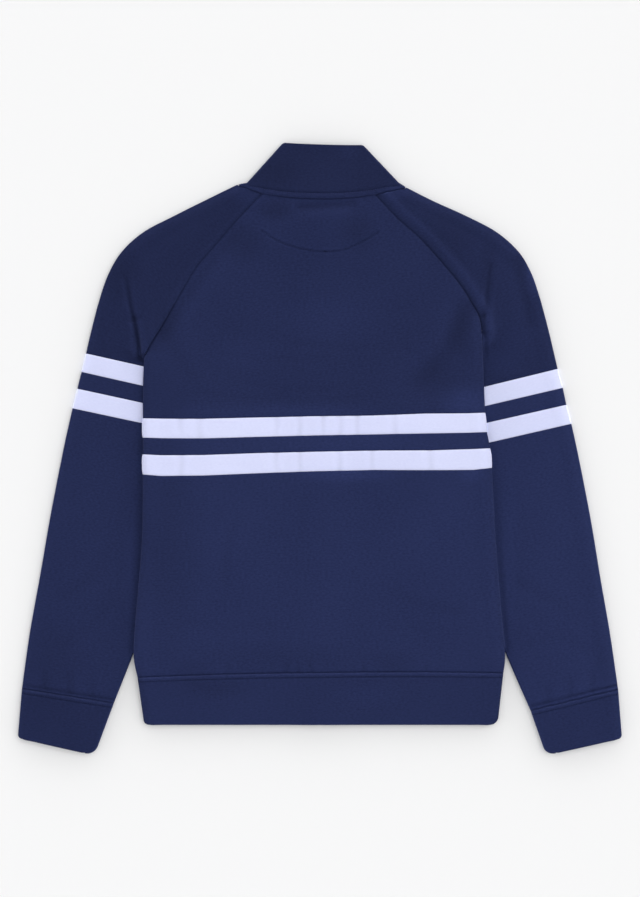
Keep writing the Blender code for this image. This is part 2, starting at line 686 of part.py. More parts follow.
def build_waistband(look):
    rows = [waistband_row(t) for t in BAND_ROWS]
    round_piece("waistband", rows, BAND_WALL, WAIST_FRONT_ACROSS, WAIST_BACK_ACROSS, look)


# ---- zip --------------------------------------------------------------------------------------------
TAPE_TOP = SLIDER_Y + 0.0045
TAPE_END = HEM_Y + 0.0065
TAPE_SPLIT = 0.0016      # half the gap between the tapes beside the slider's post
SLIDER_LENGTH = 0.0110
SLIDER_WIDTH = 0.0086
SLIDER_TAIL = 0.0070     # its width at the end that the chain leaves
PLATE = 0.0010           # thickness of each of its two plates
MOUTH = 0.0026           # gap between them, for the teeth
POST = 0.0022
POST_INSET = 0.0004      # of the post from the plates' upper end
BRIDGE_WIDTH = 0.0020
BRIDGE_BAR = 0.0009
BRIDGE_GAP = 0.0019      # under the bridge, for the tab's cross bar to turn in
BRIDGE_LENGTH = 0.0074
BRIDGE_LEG = 0.0012
TAB_WALL = 0.0012
TAB_LENGTH = 0.0270
TAB_WIDTH = 0.0070
EYE_WIDTH = 0.0052
EYE_HOLE = 0.0028
EYE_REACH = 0.0048       # from the cross bar's middle to the far side of the eye
TAB_HINGE_Y = SLIDER_Y - 0.0012
EYE_LAP = 0.0006         # how far the eye runs into the tab's plate
BOX_SIZE = (0.0076, 0.0056, 0.0024)
BOX_GAP = 0.0004         # between the box at the hem and the ends of the tapes
JOIN_LAP = 0.0001        # how far the slider's pieces run into each other


def tape_height(y):
    """Middle of the zip tapes above the table."""
    return TAPE_BOTTOM + TAPE_WALL / 2 + SLIDER_LIFT * bump((y - SLIDER_Y) / SLIDER_REACH_Y)


def build_tapes(look):
    heights = [TAPE_TOP, SLIDER_Y + 0.0015, SLIDER_Y - 0.0010] + [SLIDER_Y - 0.010 * k for k in range(1, 7)]
    heights += steps(SLIDER_Y - 0.060, TAPE_END, 14)[1:]
    for side, name in ((-1, "zip_tape_left"), (1, "zip_tape_right")):
        points = []
        for y in heights:
            inner = TAPE_SPLIT if y > SLIDER_Y else SEAM / 2
            for x in (inner, 0.0045, TAPE_WIDTH):
                points.append((side * x, y, tape_height(y)))
        cloth(name, points, grid_faces(len(heights), 3), TAPE_WALL, look)


def box(name, size, middle, collection, look=None):
    """A box of a given size about its middle."""
    bpy.ops.mesh.primitive_cube_add(size=1.0)
    made = bpy.context.object
    made.name = name
    made.data.name = name
    made.data.transform(Matrix.Diagonal((*size, 1.0)))
    made.location = middle
    for old in list(made.users_collection):
        old.objects.unlink(made)
    collection.objects.link(made)
    if look:
        made.data.materials.append(look)
    return made


def join(target, tool):
    """Boolean union of a helper solid into a part."""
    tool.hide_render = True
    tool.display_type = "WIRE"
    union = target.modifiers.new("join_" + tool.name, "BOOLEAN")
    union.operation = "UNION"
    union.solver = "EXACT"
    union.object = tool


def round_edges(made, width, segments=2):
    bevel = made.modifiers.new("soft_edges", "BEVEL")
    bevel.width = width
    bevel.segments = segments
    bevel.limit_method = "ANGLE"
    bevel.angle_limit = math.radians(40.0)


def taper(made, tail_width):
    """Narrows a plate towards -Y, as the slider's plates are."""
    for vertex in made.data.vertices:
        if vertex.co.y < 0:
            vertex.co.x = math.copysign(tail_width / 2, vertex.co.x)


def build_slider(look):
    middle = tape_height(SLIDER_Y)
    lower_z = middle - MOUTH / 2 - PLATE / 2
    plate_size = (SLIDER_WIDTH, SLIDER_LENGTH, PLATE)
    slider = box("zip_slider", plate_size, (0.0, SLIDER_Y, lower_z), parts, look)
    taper(slider, SLIDER_TAIL)
    upper = box("slider_upper", plate_size, (0.0, SLIDER_Y, middle + MOUTH / 2 + PLATE / 2), helpers)
    taper(upper, SLIDER_TAIL)
    post_y = SLIDER_Y + SLIDER_LENGTH / 2 - POST / 2 - POST_INSET
    post = box("slider_post", (POST, POST, MOUTH + 2 * JOIN_LAP), (0.0, post_y, middle), helpers)
    bridge_top = lower_z - PLATE / 2
    bar_z = bridge_top - BRIDGE_GAP - BRIDGE_BAR / 2
    bar = box("bridge_bar", (BRIDGE_WIDTH, BRIDGE_LENGTH, BRIDGE_BAR), (0.0, SLIDER_Y, bar_z), helpers)
    join(slider, upper)
    join(slider, post)
    leg_height = BRIDGE_GAP + 2 * JOIN_LAP
    for end in (-1, 1):
        leg_y = SLIDER_Y + end * (BRIDGE_LENGTH / 2 - BRIDGE_LEG / 2 - JOIN_LAP)
        leg_z = bridge_top - BRIDGE_GAP / 2
        leg_size = (BRIDGE_WIDTH - 2 * JOIN_LAP, BRIDGE_LEG, leg_height)
        leg = box(f"bridge_leg_{end}", leg_size, (0.0, leg_y, leg_z), helpers)
        join(slider, leg)
    join(slider, bar)
    return bridge_top - BRIDGE_GAP / 2


def build_tab(hinge_z, look):
    """The pull tab, on its cross bar, leaning down until its far end meets the table."""
    plate_length = TAB_LENGTH - EYE_REACH
    lean = math.asin((hinge_z - TAB_WALL / 2) / TAB_LENGTH)
    plate = box("zip_pull_tab", (TAB_WIDTH, plate_length, TAB_WALL), (0.0, 0.0, 0.0), parts, look)
    plate.data.transform(Matrix.Translation((0.0, -EYE_REACH - plate_length / 2, 0.0)))
    eye_length = EYE_REACH + TAB_WALL / 2 + EYE_LAP
    eye = box("tab_eye", (EYE_WIDTH, eye_length, TAB_WALL), (0.0, 0.0, 0.0), helpers)
    eye.data.transform(Matrix.Translation((0.0, TAB_WALL / 2 - eye_length / 2, 0.0)))
    hole_length = EYE_REACH - TAB_WALL / 2 - JOIN_LAP
    hole = box("tab_hole", (EYE_HOLE, hole_length, TAB_WALL * 2), (0.0, 0.0, 0.0), helpers)
    hole.data.transform(Matrix.Translation((0.0, -TAB_WALL / 2 - hole_length / 2, 0.0)))
    pivot = bpy.data.objects.new("tab_pivot", None)
    helpers.objects.link(pivot)
    pivot.location = (0.0, TAB_HINGE_Y, hinge_z)
    pivot.rotation_euler = (lean, 0.0, 0.0)
    for made in (plate, eye, hole):
        made.parent = pivot
    join(plate, eye)
    hole.hide_render = True
    hole.display_type = "WIRE"
    cut = plate.modifiers.new("eye", "BOOLEAN")
    cut.operation = "DIFFERENCE"
    cut.solver = "EXACT"
    cut.object = hole


def build_zip(tape_look, metal):
    build_tapes(tape_look)
    hinge_z = build_slider(metal)
    build_tab(hinge_z, metal)
    box_y = TAPE_END - BOX_GAP - BOX_SIZE[1] / 2
    catch = box("zip_box", BOX_SIZE, (0.0, box_y, TAPE_BOTTOM + TAPE_WALL / 2), parts, metal)
    round_edges(catch, 0.0004)


# ---- the jacket -------------------------------------------------------------------------------------
for old in list(bpy.data.objects):
    bpy.data.objects.remove(old, do_unlink=True)
parts = bpy.data.collections.new("track_jacket")
helpers = bpy.data.collections.new("helpers")
bpy.context.scene.collection.children.link(parts)
bpy.context.scene.collection.children.link(helpers)

navy_knit = material("navy_knit", NAVY, 0.75)
pale_knit = material("pale_knit", PALE, 0.70)
zip_cloth = material("zip_tape", ZIP_BLUE, 0.80)
zip_metal = material("zip_metal", NICKEL, 0.35, 1.0)

build_body(navy_knit, pale_knit)
build_sleeves(navy_knit, pale_knit)
build_collar(navy_knit)
build_waistband(navy_knit)
build_zip(zip_cloth, zip_metal)
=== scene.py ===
"""Looks of a men's track jacket in warp knit, zipped up and laid flat, face down, on a pale table.

Sizes are in metres: x to the right, y towards the collar, z up from the table."""

import math
from collections import namedtuple

import bpy
import numpy as np
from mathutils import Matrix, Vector


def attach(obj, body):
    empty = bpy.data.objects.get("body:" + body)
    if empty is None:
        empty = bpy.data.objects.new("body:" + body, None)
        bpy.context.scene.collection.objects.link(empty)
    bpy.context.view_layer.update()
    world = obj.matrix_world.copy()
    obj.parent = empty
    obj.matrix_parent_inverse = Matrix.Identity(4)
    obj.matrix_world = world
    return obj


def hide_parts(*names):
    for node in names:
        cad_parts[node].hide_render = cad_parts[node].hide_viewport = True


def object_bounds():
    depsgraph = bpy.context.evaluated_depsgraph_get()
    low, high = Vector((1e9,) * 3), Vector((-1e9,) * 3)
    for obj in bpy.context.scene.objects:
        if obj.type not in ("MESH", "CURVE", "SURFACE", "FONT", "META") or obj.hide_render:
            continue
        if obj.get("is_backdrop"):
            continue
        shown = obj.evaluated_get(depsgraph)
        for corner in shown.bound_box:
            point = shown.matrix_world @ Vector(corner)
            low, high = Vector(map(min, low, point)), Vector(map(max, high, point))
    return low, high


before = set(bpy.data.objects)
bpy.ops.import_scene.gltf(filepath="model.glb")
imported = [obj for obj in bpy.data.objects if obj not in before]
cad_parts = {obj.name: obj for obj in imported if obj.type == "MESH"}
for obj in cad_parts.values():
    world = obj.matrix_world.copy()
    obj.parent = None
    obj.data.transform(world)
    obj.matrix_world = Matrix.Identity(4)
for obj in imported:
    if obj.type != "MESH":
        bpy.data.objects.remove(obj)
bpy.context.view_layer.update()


# ==== Back: the panels above and below the bands =====================================================
# Dark blue warp knit of polyester, 1.2 mm thick, brushed inside and smooth outside. The upper panel is
# cut with raglan armholes; the lower one runs down to the waistband. They lie on the fronts, and over
# the inner halves of the sleeves, and rise over the zip and its slider.
WALL = 0.0012
LOFT = 0.0028            # from the middle of the front cloth to the middle of the back cloth
SEAM = 0.00006           # two pieces touch at a seam, apart from this
RAGLAN_INSET = 0.00003   # and a cut edge stays this far from the line of a raglan seam
LOBE_LOFT = 0.0020       # the loft of a sleeve that is pressed flat under the body
LOBE_LIFT = 0.0036       # how far that lifts the body
LOBE_MARGIN = 0.009      # the cloth over it sinks back beyond its edge, the back more softly than the front
FRONT_RAMP = 0.055
BACK_RAMP = 0.100
ARMPIT_TURN = 0.9        # how far a raglan edge is turned into the side fold at the armpit, from 0 to 1
ZIP_RIDGE = 0.0016       # how far the zip lifts the back that lies on it
ZIP_RIDGE_REACH = 0.050
SLIDER_Y = 0.2925        # middle of the slider
SLIDER_LIFT = 0.0026     # how far it lifts the fronts, and how much further it lifts the back
SLIDER_BUMP = 0.0022
SLIDER_REACH_X = 0.045   # how far the front cloth is raised round it, and the back cloth
SLIDER_REACH_Y = 0.055
BACK_REACH_X = 0.090
BACK_REACH_Y = 0.078
NECK_SAG = 0.0065        # the back neck's dip below the line between its ends
HEM_Y = -0.3499
FINE = 0.0026            # between two points of cloth that shows
COARSE = 0.0055          # and of cloth that is hidden

# Points of the left and right raglan seams on the back, from the neck to the armpits.
Raglan = namedtuple("Raglan", "left_x left_y right_x right_y")
BACK_RAGLAN = (
    Raglan(-0.0733, 0.3215, 0.0700, 0.3203),
    Raglan(-0.1057, 0.2874, 0.0980, 0.2905),
    Raglan(-0.1340, 0.2545, 0.1260, 0.2655),
    Raglan(-0.1571, 0.2275, 0.1520, 0.2370),
    Raglan(-0.1804, 0.1886, 0.1750, 0.2095),
    Raglan(-0.1978, 0.1580, 0.1915, 0.1850),
    Raglan(-0.2120, 0.1350, 0.2020, 0.1655),
    Raglan(-0.2220, 0.1170, 0.2050, 0.1460),
)

# Lines across the body from side to side, from the armpits to the waistband, and how far each one sags.
Side = namedtuple("Side", "name left_x left_y right_x right_y sag")
SIDES = (
    Side("armpit", -0.2220, 0.1170, 0.2050, 0.1460, 0.0),
    Side("chest", -0.2237, 0.0780, 0.2068, 0.0930, 0.0005),
    Side("upper_top", -0.2237, 0.0375, 0.2087, 0.0445, 0.0009),
    Side("upper_bottom", -0.2237, 0.0132, 0.2112, 0.0201, 0.0006),
    Side("lower_top", -0.2238, -0.0081, 0.2148, -0.0004, 0.0005),
    Side("lower_bottom", -0.2240, -0.0334, 0.2172, -0.0252, 0.0003),
    Side("waist", -0.2252, -0.1175, 0.2222, -0.1175, 0.0),
    Side("hip", -0.2316, -0.1972, 0.2285, -0.1972, 0.0),
    Side("notch", -0.2356, -0.2579, 0.2338, -0.2579, -0.0010),
    Side("waist_seam", -0.2307, -0.2895, 0.2318, -0.2840, -0.0027),
)

# The bands' seams wander: how far each is below its row's line, at places from side to side.
WANDER_PLACES = (0.0, 0.05, 0.17, 0.33, 0.50, 0.67, 0.83, 0.95, 1.0)
STRAIGHT = (0.0,) * len(WANDER_PLACES)
WANDER = {
    "upper_top": (0.0, 0.0006, 0.0013, 0.0005, -0.0001, 0.0004, -0.0007, 0.0002, 0.0),
    "upper_bottom": (0.0, 0.0010, 0.0019, 0.0008, 0.0001, 0.0001, 0.0001, 0.0003, 0.0),
    "lower_top": (0.0, 0.0013, 0.0018, 0.0004, -0.0001, -0.0002, 0.0010, 0.0005, 0.0),
    "lower_bottom": (0.0, 0.0022, 0.0025, 0.0008, -0.0004, -0.0005, 0.0012, 0.0019, 0.0),
}
SIDE_WANDER = [WANDER.get(side.name, STRAIGHT) for side in SIDES]

# Lines across the sleeves from the outer to the inner edge, from the armpits to the cuffs. The body lies
# on their inner ends down to the notch, where body and sleeve part.
Cut = namedtuple("Cut", "name outer_x outer_y inner_x inner_y loft")
LEFT_SLEEVE = (
    Cut("armpit", -0.2910, 0.1416, -0.2220, 0.1170, LOFT),
    Cut("under", -0.2937, 0.1300, -0.2236, 0.1105, LOBE_LOFT),
    Cut("upper_top", -0.2960, 0.1196, -0.2030, 0.0986, LOBE_LOFT),
    Cut("upper_bottom", -0.3017, 0.0963, -0.1720, 0.0670, LOBE_LOFT),
    Cut("lower_top", -0.3070, 0.0750, -0.1505, 0.0410, LOBE_LOFT),
    Cut("lower_bottom", -0.3130, 0.0503, -0.1410, 0.0136, LOBE_LOFT),
    Cut("elbow", -0.3242, 0.0000, -0.1550, -0.0385, LOBE_LOFT),
    Cut("forearm", -0.3401, -0.0809, -0.1820, -0.1135, LOBE_LOFT),
    Cut("lower_arm", -0.3542, -0.1618, -0.2100, -0.1886, LOBE_LOFT),
    Cut("notch", -0.3674, -0.2353, -0.2357, -0.2590, 0.0022),
    Cut("cuff_seam", -0.3770, -0.3043, -0.2608, -0.3228, LOFT),
)
RIGHT_SLEEVE = (
    Cut("armpit", 0.2840, 0.1690, 0.2050, 0.1460, LOFT),
    Cut("under", 0.2910, 0.1416, 0.2078, 0.1190, LOBE_LOFT),
    Cut("upper_top", 0.3007, 0.1001, 0.1900, 0.0729, LOBE_LOFT),
    Cut("upper_bottom", 0.3071, 0.0762, 0.1630, 0.0424, LOBE_LOFT),
    Cut("lower_top", 0.3118, 0.0547, 0.1470, 0.0173, LOBE_LOFT),
    Cut("lower_bottom", 0.3180, 0.0308, 0.1410, -0.0098, LOBE_LOFT),
    Cut("elbow", 0.3281, -0.0160, 0.1580, -0.0540, LOBE_LOFT),
    Cut("forearm", 0.3428, -0.0920, 0.1850, -0.1245, LOBE_LOFT),
    Cut("lower_arm", 0.3557, -0.1700, 0.2120, -0.1970, LOBE_LOFT),
    Cut("notch", 0.3668, -0.2340, 0.2342, -0.2580, 0.0022),
    Cut("cuff_seam", 0.3771, -0.3051, 0.2663, -0.3321, LOFT),
)


def mix(a, b, t):
    return a + (b - a) * t


def ease(t):
    """Smooth step from 0 at t = 0 to 1 at t = 1."""
    t = np.clip(t, 0.0, 1.0)
    return t * t * (3.0 - 2.0 * t)


def hill(t):
    """Soft hill: 1 at t = 0, level there, and 0 from t = 1 on."""
    return (1.0 - np.minimum(np.abs(t), 1.0) ** 2) ** 2


def along(rows, t):
    """A smooth curve through rows of numbers at equal steps, for t from 0 to 1."""
    rows = [tuple(v for v in row if not isinstance(v, str)) for row in rows]
    last = len(rows) - 1
    i = min(int(t * last), last - 1)
    f = t * last - i
    before, start = rows[max(i - 1, 0)], rows[i]
    end, after = rows[i + 1], rows[min(i + 2, last)]
    return tuple(
        0.5 * (2 * q + (r - p) * f + (2 * p - 5 * q + 4 * r - s) * f * f + (3 * q - p - 3 * r + s) * f ** 3)
        for p, q, r, s in zip(before, start, end, after)
    )


def place(rows, name):
    """How far along a table, from 0 to 1, its named row is."""
    return [row.name for row in rows].index(name) / (len(rows) - 1)


def smooth_line(points, count=24):
    """A smooth line through a few points, with count steps."""
    return [along(points, k / count) for k in range(count + 1)]


def path_lengths(path):
    """Running length along a line of points."""
    steps = np.diff(np.array(path, float), axis=0)
    return np.concatenate([[0.0], np.cumsum(np.linalg.norm(steps, axis=1))])


def near(x, y, path):
    """How far each place is from a line of points, and how far along the line, from 0 to 1, it is nearest."""
    ends = np.array(path, float)[:, :2]
    lengths = np.hypot(*(ends[1:] - ends[:-1]).T)
    starts = np.concatenate([[0.0], np.cumsum(lengths)])
    best = np.full(np.shape(x), np.inf)
    reached = np.zeros(np.shape(x))
    for (ax, ay), (bx, by), length, start in zip(ends, ends[1:], lengths, starts):
        t = np.clip(((x - ax) * (bx - ax) + (y - ay) * (by - ay)) / length ** 2, 0.0, 1.0)
        away = np.hypot(x - ax - t * (bx - ax), y - ay - t * (by - ay))
        reached = np.where(away < best, start + t * length, reached)
        best = np.minimum(best, away)
    return best, reached / starts[-1]


HIDDEN_EDGE_STEPS = 54


def hidden_edge(cuts):
    """The part of a sleeve's inner edge that lies under the body."""
    first, last = place(cuts, "under"), place(cuts, "notch")
    steps = range(HIDDEN_EDGE_STEPS + 1)
    return [along(cuts, mix(first, last, k / HIDDEN_EDGE_STEPS))[2:4] for k in steps]


HIDDEN_EDGES = (hidden_edge(LEFT_SLEEVE), hidden_edge(RIGHT_SLEEVE))


def beyond_sleeve(x, y):
    """Distance from a place under the body to the nearer sleeve's hidden part, 0 on it."""
    away = np.zeros(np.shape(x))
    for edge, here in zip(HIDDEN_EDGES, (x < 0, x >= 0)):
        ends = np.array(edge)
        inner = np.interp(y, ends[::-1, 1], np.abs(ends[::-1, 0]))
        on_it = (y < ends[0, 1]) & (y > ends[-1, 1]) & (np.abs(x) > inner)
        away = np.where(here, np.where(on_it, 0.0, near(x, y, edge)[0]), away)
    return away


def over_slider(x, y, reach_x, reach_y):
    """1 where the cloth lies on the slider, and 0 beyond its reach."""
    return hill(x / reach_x) * hill((y - SLIDER_Y) / reach_y)


def over_sleeves(x, y, ramp):
    """How much the sleeves' hidden halves raise the cloth."""
    return LOBE_LIFT * ease(1.0 - (beyond_sleeve(x, y) - LOBE_MARGIN) / ramp)


def front_height(x, y):
    """Height of the middle of the cloth that faces the table."""
    slider = SLIDER_LIFT * over_slider(x, y, SLIDER_REACH_X, SLIDER_REACH_Y)
    return WALL / 2 + over_sleeves(x, y, FRONT_RAMP) + slider


def back_height(x, y):
    """Height of the middle of the cloth that faces up."""
    zip_ridge = ZIP_RIDGE * hill(x / ZIP_RIDGE_REACH)
    slider = (SLIDER_LIFT + SLIDER_BUMP) * over_slider(x, y, BACK_REACH_X, BACK_REACH_Y)
    return WALL / 2 + over_sleeves(x, y, BACK_RAMP) + LOFT + zip_ridge + slider


# A line pressed into the cloth: its depth at both ends, its width, and the soft ridge beside it, which
# fades out over a share of its length at both ends of a crease.
Line = namedtuple("Line", "start end width ridge reach fades path")
CREASE_FADE = 0.12
CREASE_RIDGE = 0.25      # the height of its ridges, of its greatest depth
CREASE_REACH = 2.0       # and their distance from its middle, of its width
SEAM_REACH = 0.0045      # from a seam to the top of the ridge beside it


def seam(path, start, end, width, ridge=0.0, reach=SEAM_REACH):
    """The ditch where two pieces are sewn together, and the ridge of the cloth turned under beside it."""
    return Line(start, end, width, ridge, reach, False, path)


def crease(start, end, width, *points):
    """A soft trough through a few points, with a low ridge on both sides."""
    ridge = CREASE_RIDGE * max(start, end)
    return Line(start, end, width, ridge, CREASE_REACH * width, True, smooth_line(points))


def relief(x, y, lines):
    """How much the lines raise or lower the cloth at each place."""
    lift = np.zeros(np.shape(x))
    for line in lines:
        away, reached = near(x, y, line.path)
        strength = mix(line.start, line.end, reached)
        fade = ease(reached / CREASE_FADE) * ease((1.0 - reached) / CREASE_FADE) if line.fades else 1.0
        lift -= strength * np.exp(-((away / line.width) ** 2))
        lift += line.ridge * fade * np.exp(-(((away - line.reach) / (0.5 * line.reach)) ** 2))
    return lift


BESIDE_SEAM = (0.0005, 0.0011, 0.0018, 0.0028, 0.0040)    # points of cloth are at these distances


def spaced(length, spacing, start=False, end=False):
    """Places from 0 to 1 along a length, close together at an end that has a seam."""
    close = np.array(BESIDE_SEAM)
    lead = close if start else np.array([])
    tail = length - close[::-1] if end else np.array([])
    first = close[-1] if start else 0.0
    last = length - close[-1] if end else length
    middle = np.linspace(first, last, max(2, round((last - first) / spacing) + 1))
    inner = middle[1 if start else 0: -1 if end else None]
    ends = [[0.0]] if start else []
    return np.concatenate(ends + [lead, inner, tail] + ([[length]] if end else [])) / length


# A panel's last columns: their insets where it lies flat beside a raglan seam, and the degrees that it has
# turned down by where it ends in a side fold.
FLAT_EDGE = (0.0040, 0.0032, 0.0024, 0.0017, 0.0011, 0.0006, RAGLAN_INSET)
FOLD_ANGLES = (0.0, 18.0, 36.0, 54.0, 72.0, 90.0)
TURN_FROM = 0.55         # the raglan edge starts to turn down here, on its way from the neck to the armpit


def edge_steps(folded):
    """Insets and drops of a panel's last columns: flat beside a raglan seam, turned down at a side."""
    half = LOFT / 2
    rise = half - SEAM * 1.5
    turns = [math.radians(a) for a in FOLD_ANGLES]
    turned = [(WALL / 2 + half * (1.0 - math.sin(a)), rise * (1.0 - math.cos(a))) for a in turns]
    turned.append((WALL / 2, half - SEAM / 2))
    steps = zip(FLAT_EDGE, turned)
    return np.array([(mix(flat, inset, folded), drop * folded) for flat, (inset, drop) in steps])


def armpit_turn(t):
    """How far a raglan edge is turned down into the side fold, at a place from the neck to the armpit."""
    return ARMPIT_TURN * float(ease((t - TURN_FROM) / (1.0 - TURN_FROM)))


# A line across the body: its ends, how far its middle sags, how far its ends are turned down at the
# sides, from 0 to 1, and how its seam wanders.
BodyRow = namedtuple("BodyRow", "left_x left_y right_x right_y sag folded wander")


def raglan_rows(table, places):
    """Body rows from the neck to the armpit, at places from 0 to 1."""
    return [BodyRow(*along(table, t), NECK_SAG * (1.0 - t) ** 2, armpit_turn(t), STRAIGHT) for t in places]


def side_rows(start, end, spacing=FINE, seam_above=True):
    """Body rows between two named lines below the armpit, closer together at their seams."""
    first, last = place(SIDES, start), place(SIDES, end)
    length = math.dist(along(SIDES, first)[:2], along(SIDES, last)[:2])
    places = mix(first, last, spaced(length, spacing, seam_above, True))
    return [BodyRow(*along(SIDES, t), 1.0, along(SIDE_WANDER, t)) for t in places]


def seam_ends(rows):
    """Rows with the first and last moved half a seam gap into the piece."""
    rows = list(rows)
    for index, shift in ((0, -SEAM / 2), (-1, SEAM / 2)):
        row = rows[index]
        rows[index] = row._replace(left_y=row.left_y + shift, right_y=row.right_y + shift)
    return rows


def row_y(row, s):
    """How far towards the collar a body row is, at places s from its left end to its right end."""
    straight = mix(row.left_y, row.right_y, s)
    return straight - row.sag * 4 * s * (1 - s) - np.interp(s, WANDER_PLACES, row.wander)


RAGLAN_LENGTH = 0.272    # of the seam from the neck to the armpit
YOKE_LENGTH = 0.088      # of its upper part, down to below the half-moon, where the points are closer
YOKE_FINE = 0.0014
RAGLAN_PLACES = np.concatenate([
    spaced(YOKE_LENGTH, YOKE_FINE, True) * YOKE_LENGTH,
    YOKE_LENGTH + spaced(RAGLAN_LENGTH - YOKE_LENGTH, FINE)[1:] * (RAGLAN_LENGTH - YOKE_LENGTH),
]) / RAGLAN_LENGTH
ROLL = 0.0010            # how far the cloth sinks towards a side fold
ROLL_REACH = 0.011
PUFF = 0.0006            # and how far it stands up just inside that
PUFF_REACH = 0.024
FOLD_PAINTED_SHADE = 0.0020        # painted shade in a side fold, as dark as in a ditch of this depth and up to this much painted shade on the cloth that rolls down to it
RIM_PAINTED_SHADE = 0.0013         # and so, up to this, is the nap of the cloth that rolls down to it
RIM_REACH = 0.0090
BACK_WIDTH = 0.427
BACK_STEPS = spaced(BACK_WIDTH, FINE)
DITCH_WIDTH = 0.0011


def rim_painted_shade(distance):
    """How much shade is painted near a fold, as the depth of a ditch, by its distance from the fold."""
    return RIM_PAINTED_SHADE * (1.0 - np.minimum(distance / RIM_REACH, 1.0)) ** 1.3


def rolled(distance):
    """The soft roundness of cloth near a fold, by its distance from the fold."""
    sink = ROLL * (1.0 - np.minimum(distance / ROLL_REACH, 1.0)) ** 2
    return PUFF * hill((distance - PUFF_REACH / 2) / (PUFF_REACH / 2)) - sink


def lengths_along(grid, axis):
    """Running length through a grid of points, down its columns (axis 0) or along its rows (axis 1)."""
    steps = np.linalg.norm(np.diff(grid, axis=axis), axis=2)
    return np.insert(np.cumsum(steps, axis=axis), 0, 0.0, axis=axis)


UNDERSIDE_SHARE = 0.5
FACES_UP = 0.99          # from this on, a point is on the upper side and not in a side fold


def press(grid, facing, lift):
    """Moves the points of a grid out by lift. facing is 1 on the upper side and -1 on the side on the table,
    which only goes in, and by less."""
    lift = np.where(facing < 0.0, UNDERSIDE_SHARE * np.minimum(lift, 0.0), lift)
    grid[..., 2] += facing * lift


def end_ditches(grid, first, last):
    """The ditches of the seams along a grid's first and last rows."""
    down = lengths_along(grid, 0) / DITCH_WIDTH
    return -first * np.exp(-(down ** 2)) - last * np.exp(-((down[-1] - down) ** 2))


def back_grid(rows, lines, first, last):
    """Points of a back panel: from its left edge over its flat to its right edge, row by row."""
    grid, drops, rims = [], [], []
    for row in rows:
        edge = edge_steps(row.folded)
        insets, turned = edge[1:, 0], edge[1:, 1]
        flat = edge[0, 0]
        level = mix(row.left_x + flat, row.right_x - flat, BACK_STEPS)
        x = np.concatenate([row.left_x + insets[::-1], level, row.right_x - insets])
        s = np.concatenate([np.zeros(len(insets)), BACK_STEPS, np.ones(len(insets))])
        y = row_y(row, s)
        from_side = np.minimum(x - row.left_x, row.right_x - x)
        grid.append(np.stack([x, y, back_height(x, y) + rolled(from_side) * row.folded], 1))
        rims.append(rim_painted_shade(from_side) * row.folded)
        drops.append(np.concatenate([turned[::-1], np.zeros(len(level)), turned]))
    grid, drops = np.array(grid), np.array(drops)
    shown = 1.0 - drops / (LOFT / 2)
    bottom = front_height(grid[..., 0], grid[..., 1])
    lift = relief(grid[..., 0], grid[..., 1], lines) + end_ditches(grid, first, last)
    half = bottom + (grid[..., 2] - bottom) / 2
    grid[..., 2] = mix(half, grid[..., 2], shown)
    press(grid, shown, lift)
    # The lift that is returned also carries painted shade in the side folds and on the cloth that rolls down
    # to them.
    return grid, lift - FOLD_PAINTED_SHADE * (1.0 - shown) - np.array(rims)


RISE_TONE = 150.0        # the colour is painted this much lighter for each metre that the cloth is raised, and darker where it is sunk: painted highlight and shade
RISE_MOST = 0.0020

# Broad soft patches of painted light and shade: each one's middle, half its width and height, and how much
# darker or lighter the colour is painted there.
Mark = namedtuple("Mark", "x y wide high tone")
PAINTED_LIGHT_PATCHES = (
    Mark(-0.053, 0.349, 0.043, 0.028, -0.12),
    Mark(0.036, 0.374, 0.020, 0.014, 0.12),
    Mark(-0.094, 0.321, 0.025, 0.018, 0.24),
    Mark(0.096, 0.324, 0.023, 0.015, 0.20),
    Mark(-0.056, 0.301, 0.032, 0.020, -0.21),
    Mark(-0.097, 0.260, 0.038, 0.036, -0.18),
    Mark(0.048, 0.274, 0.034, 0.034, -0.16),
    Mark(0.165, 0.270, 0.050, 0.055, -0.09),
    Mark(0.213, 0.225, 0.016, 0.060, -0.11),
    Mark(-0.252, 0.222, 0.040, 0.052, -0.12),
    Mark(-0.300, 0.140, 0.024, 0.028, 0.09),
    Mark(-0.190, 0.155, 0.026, 0.036, -0.14),
    Mark(0.010, 0.165, 0.100, 0.043, 0.09),
    Mark(-0.088, 0.121, 0.057, 0.032, 0.07),
    Mark(0.180, 0.145, 0.027, 0.060, -0.18),
    Mark(0.150, 0.090, 0.044, 0.036, -0.15),
    Mark(0.186, 0.056, 0.046, 0.034, 0.36),
    Mark(0.230, 0.106, 0.036, 0.028, 0.13),
    Mark(-0.034, 0.046, 0.160, 0.016, 0.20),
    Mark(-0.156, 0.048, 0.034, 0.016, 0.08),
    Mark(0.035, 0.005, 0.120, 0.024, 0.11),
    Mark(-0.205, 0.003, 0.045, 0.024, -0.08),
    Mark(0.032, -0.033, 0.092, 0.015, 0.26),
    Mark(0.190, -0.033, 0.025, 0.015, 0.18),
    Mark(-0.196, -0.116, 0.060, 0.190, -0.13),
    Mark(-0.240, -0.150, 0.013, 0.100, 0.10),
    Mark(0.240, -0.130, 0.015, 0.160, 0.08),
    Mark(0.152, -0.116, 0.088, 0.114, 0.05),
    Mark(-0.160, -0.284, 0.040, 0.022, -0.09),
    Mark(-0.060, -0.268, 0.190, 0.032, -0.08),
    Mark(0.094, -0.272, 0.040, 0.024, -0.09),
    Mark(-0.133, -0.303, 0.057, 0.020, -0.12),
    Mark(0.060, -0.312, 0.060, 0.022, 0.07),
    Mark(-0.341, -0.274, 0.060, 0.075, -0.12),
    Mark(0.362, -0.270, 0.030, 0.055, -0.08),
    Mark(0.269, 0.219, 0.016, 0.038, 0.36),
    Mark(0.253, 0.143, 0.044, 0.038, 0.09),
)


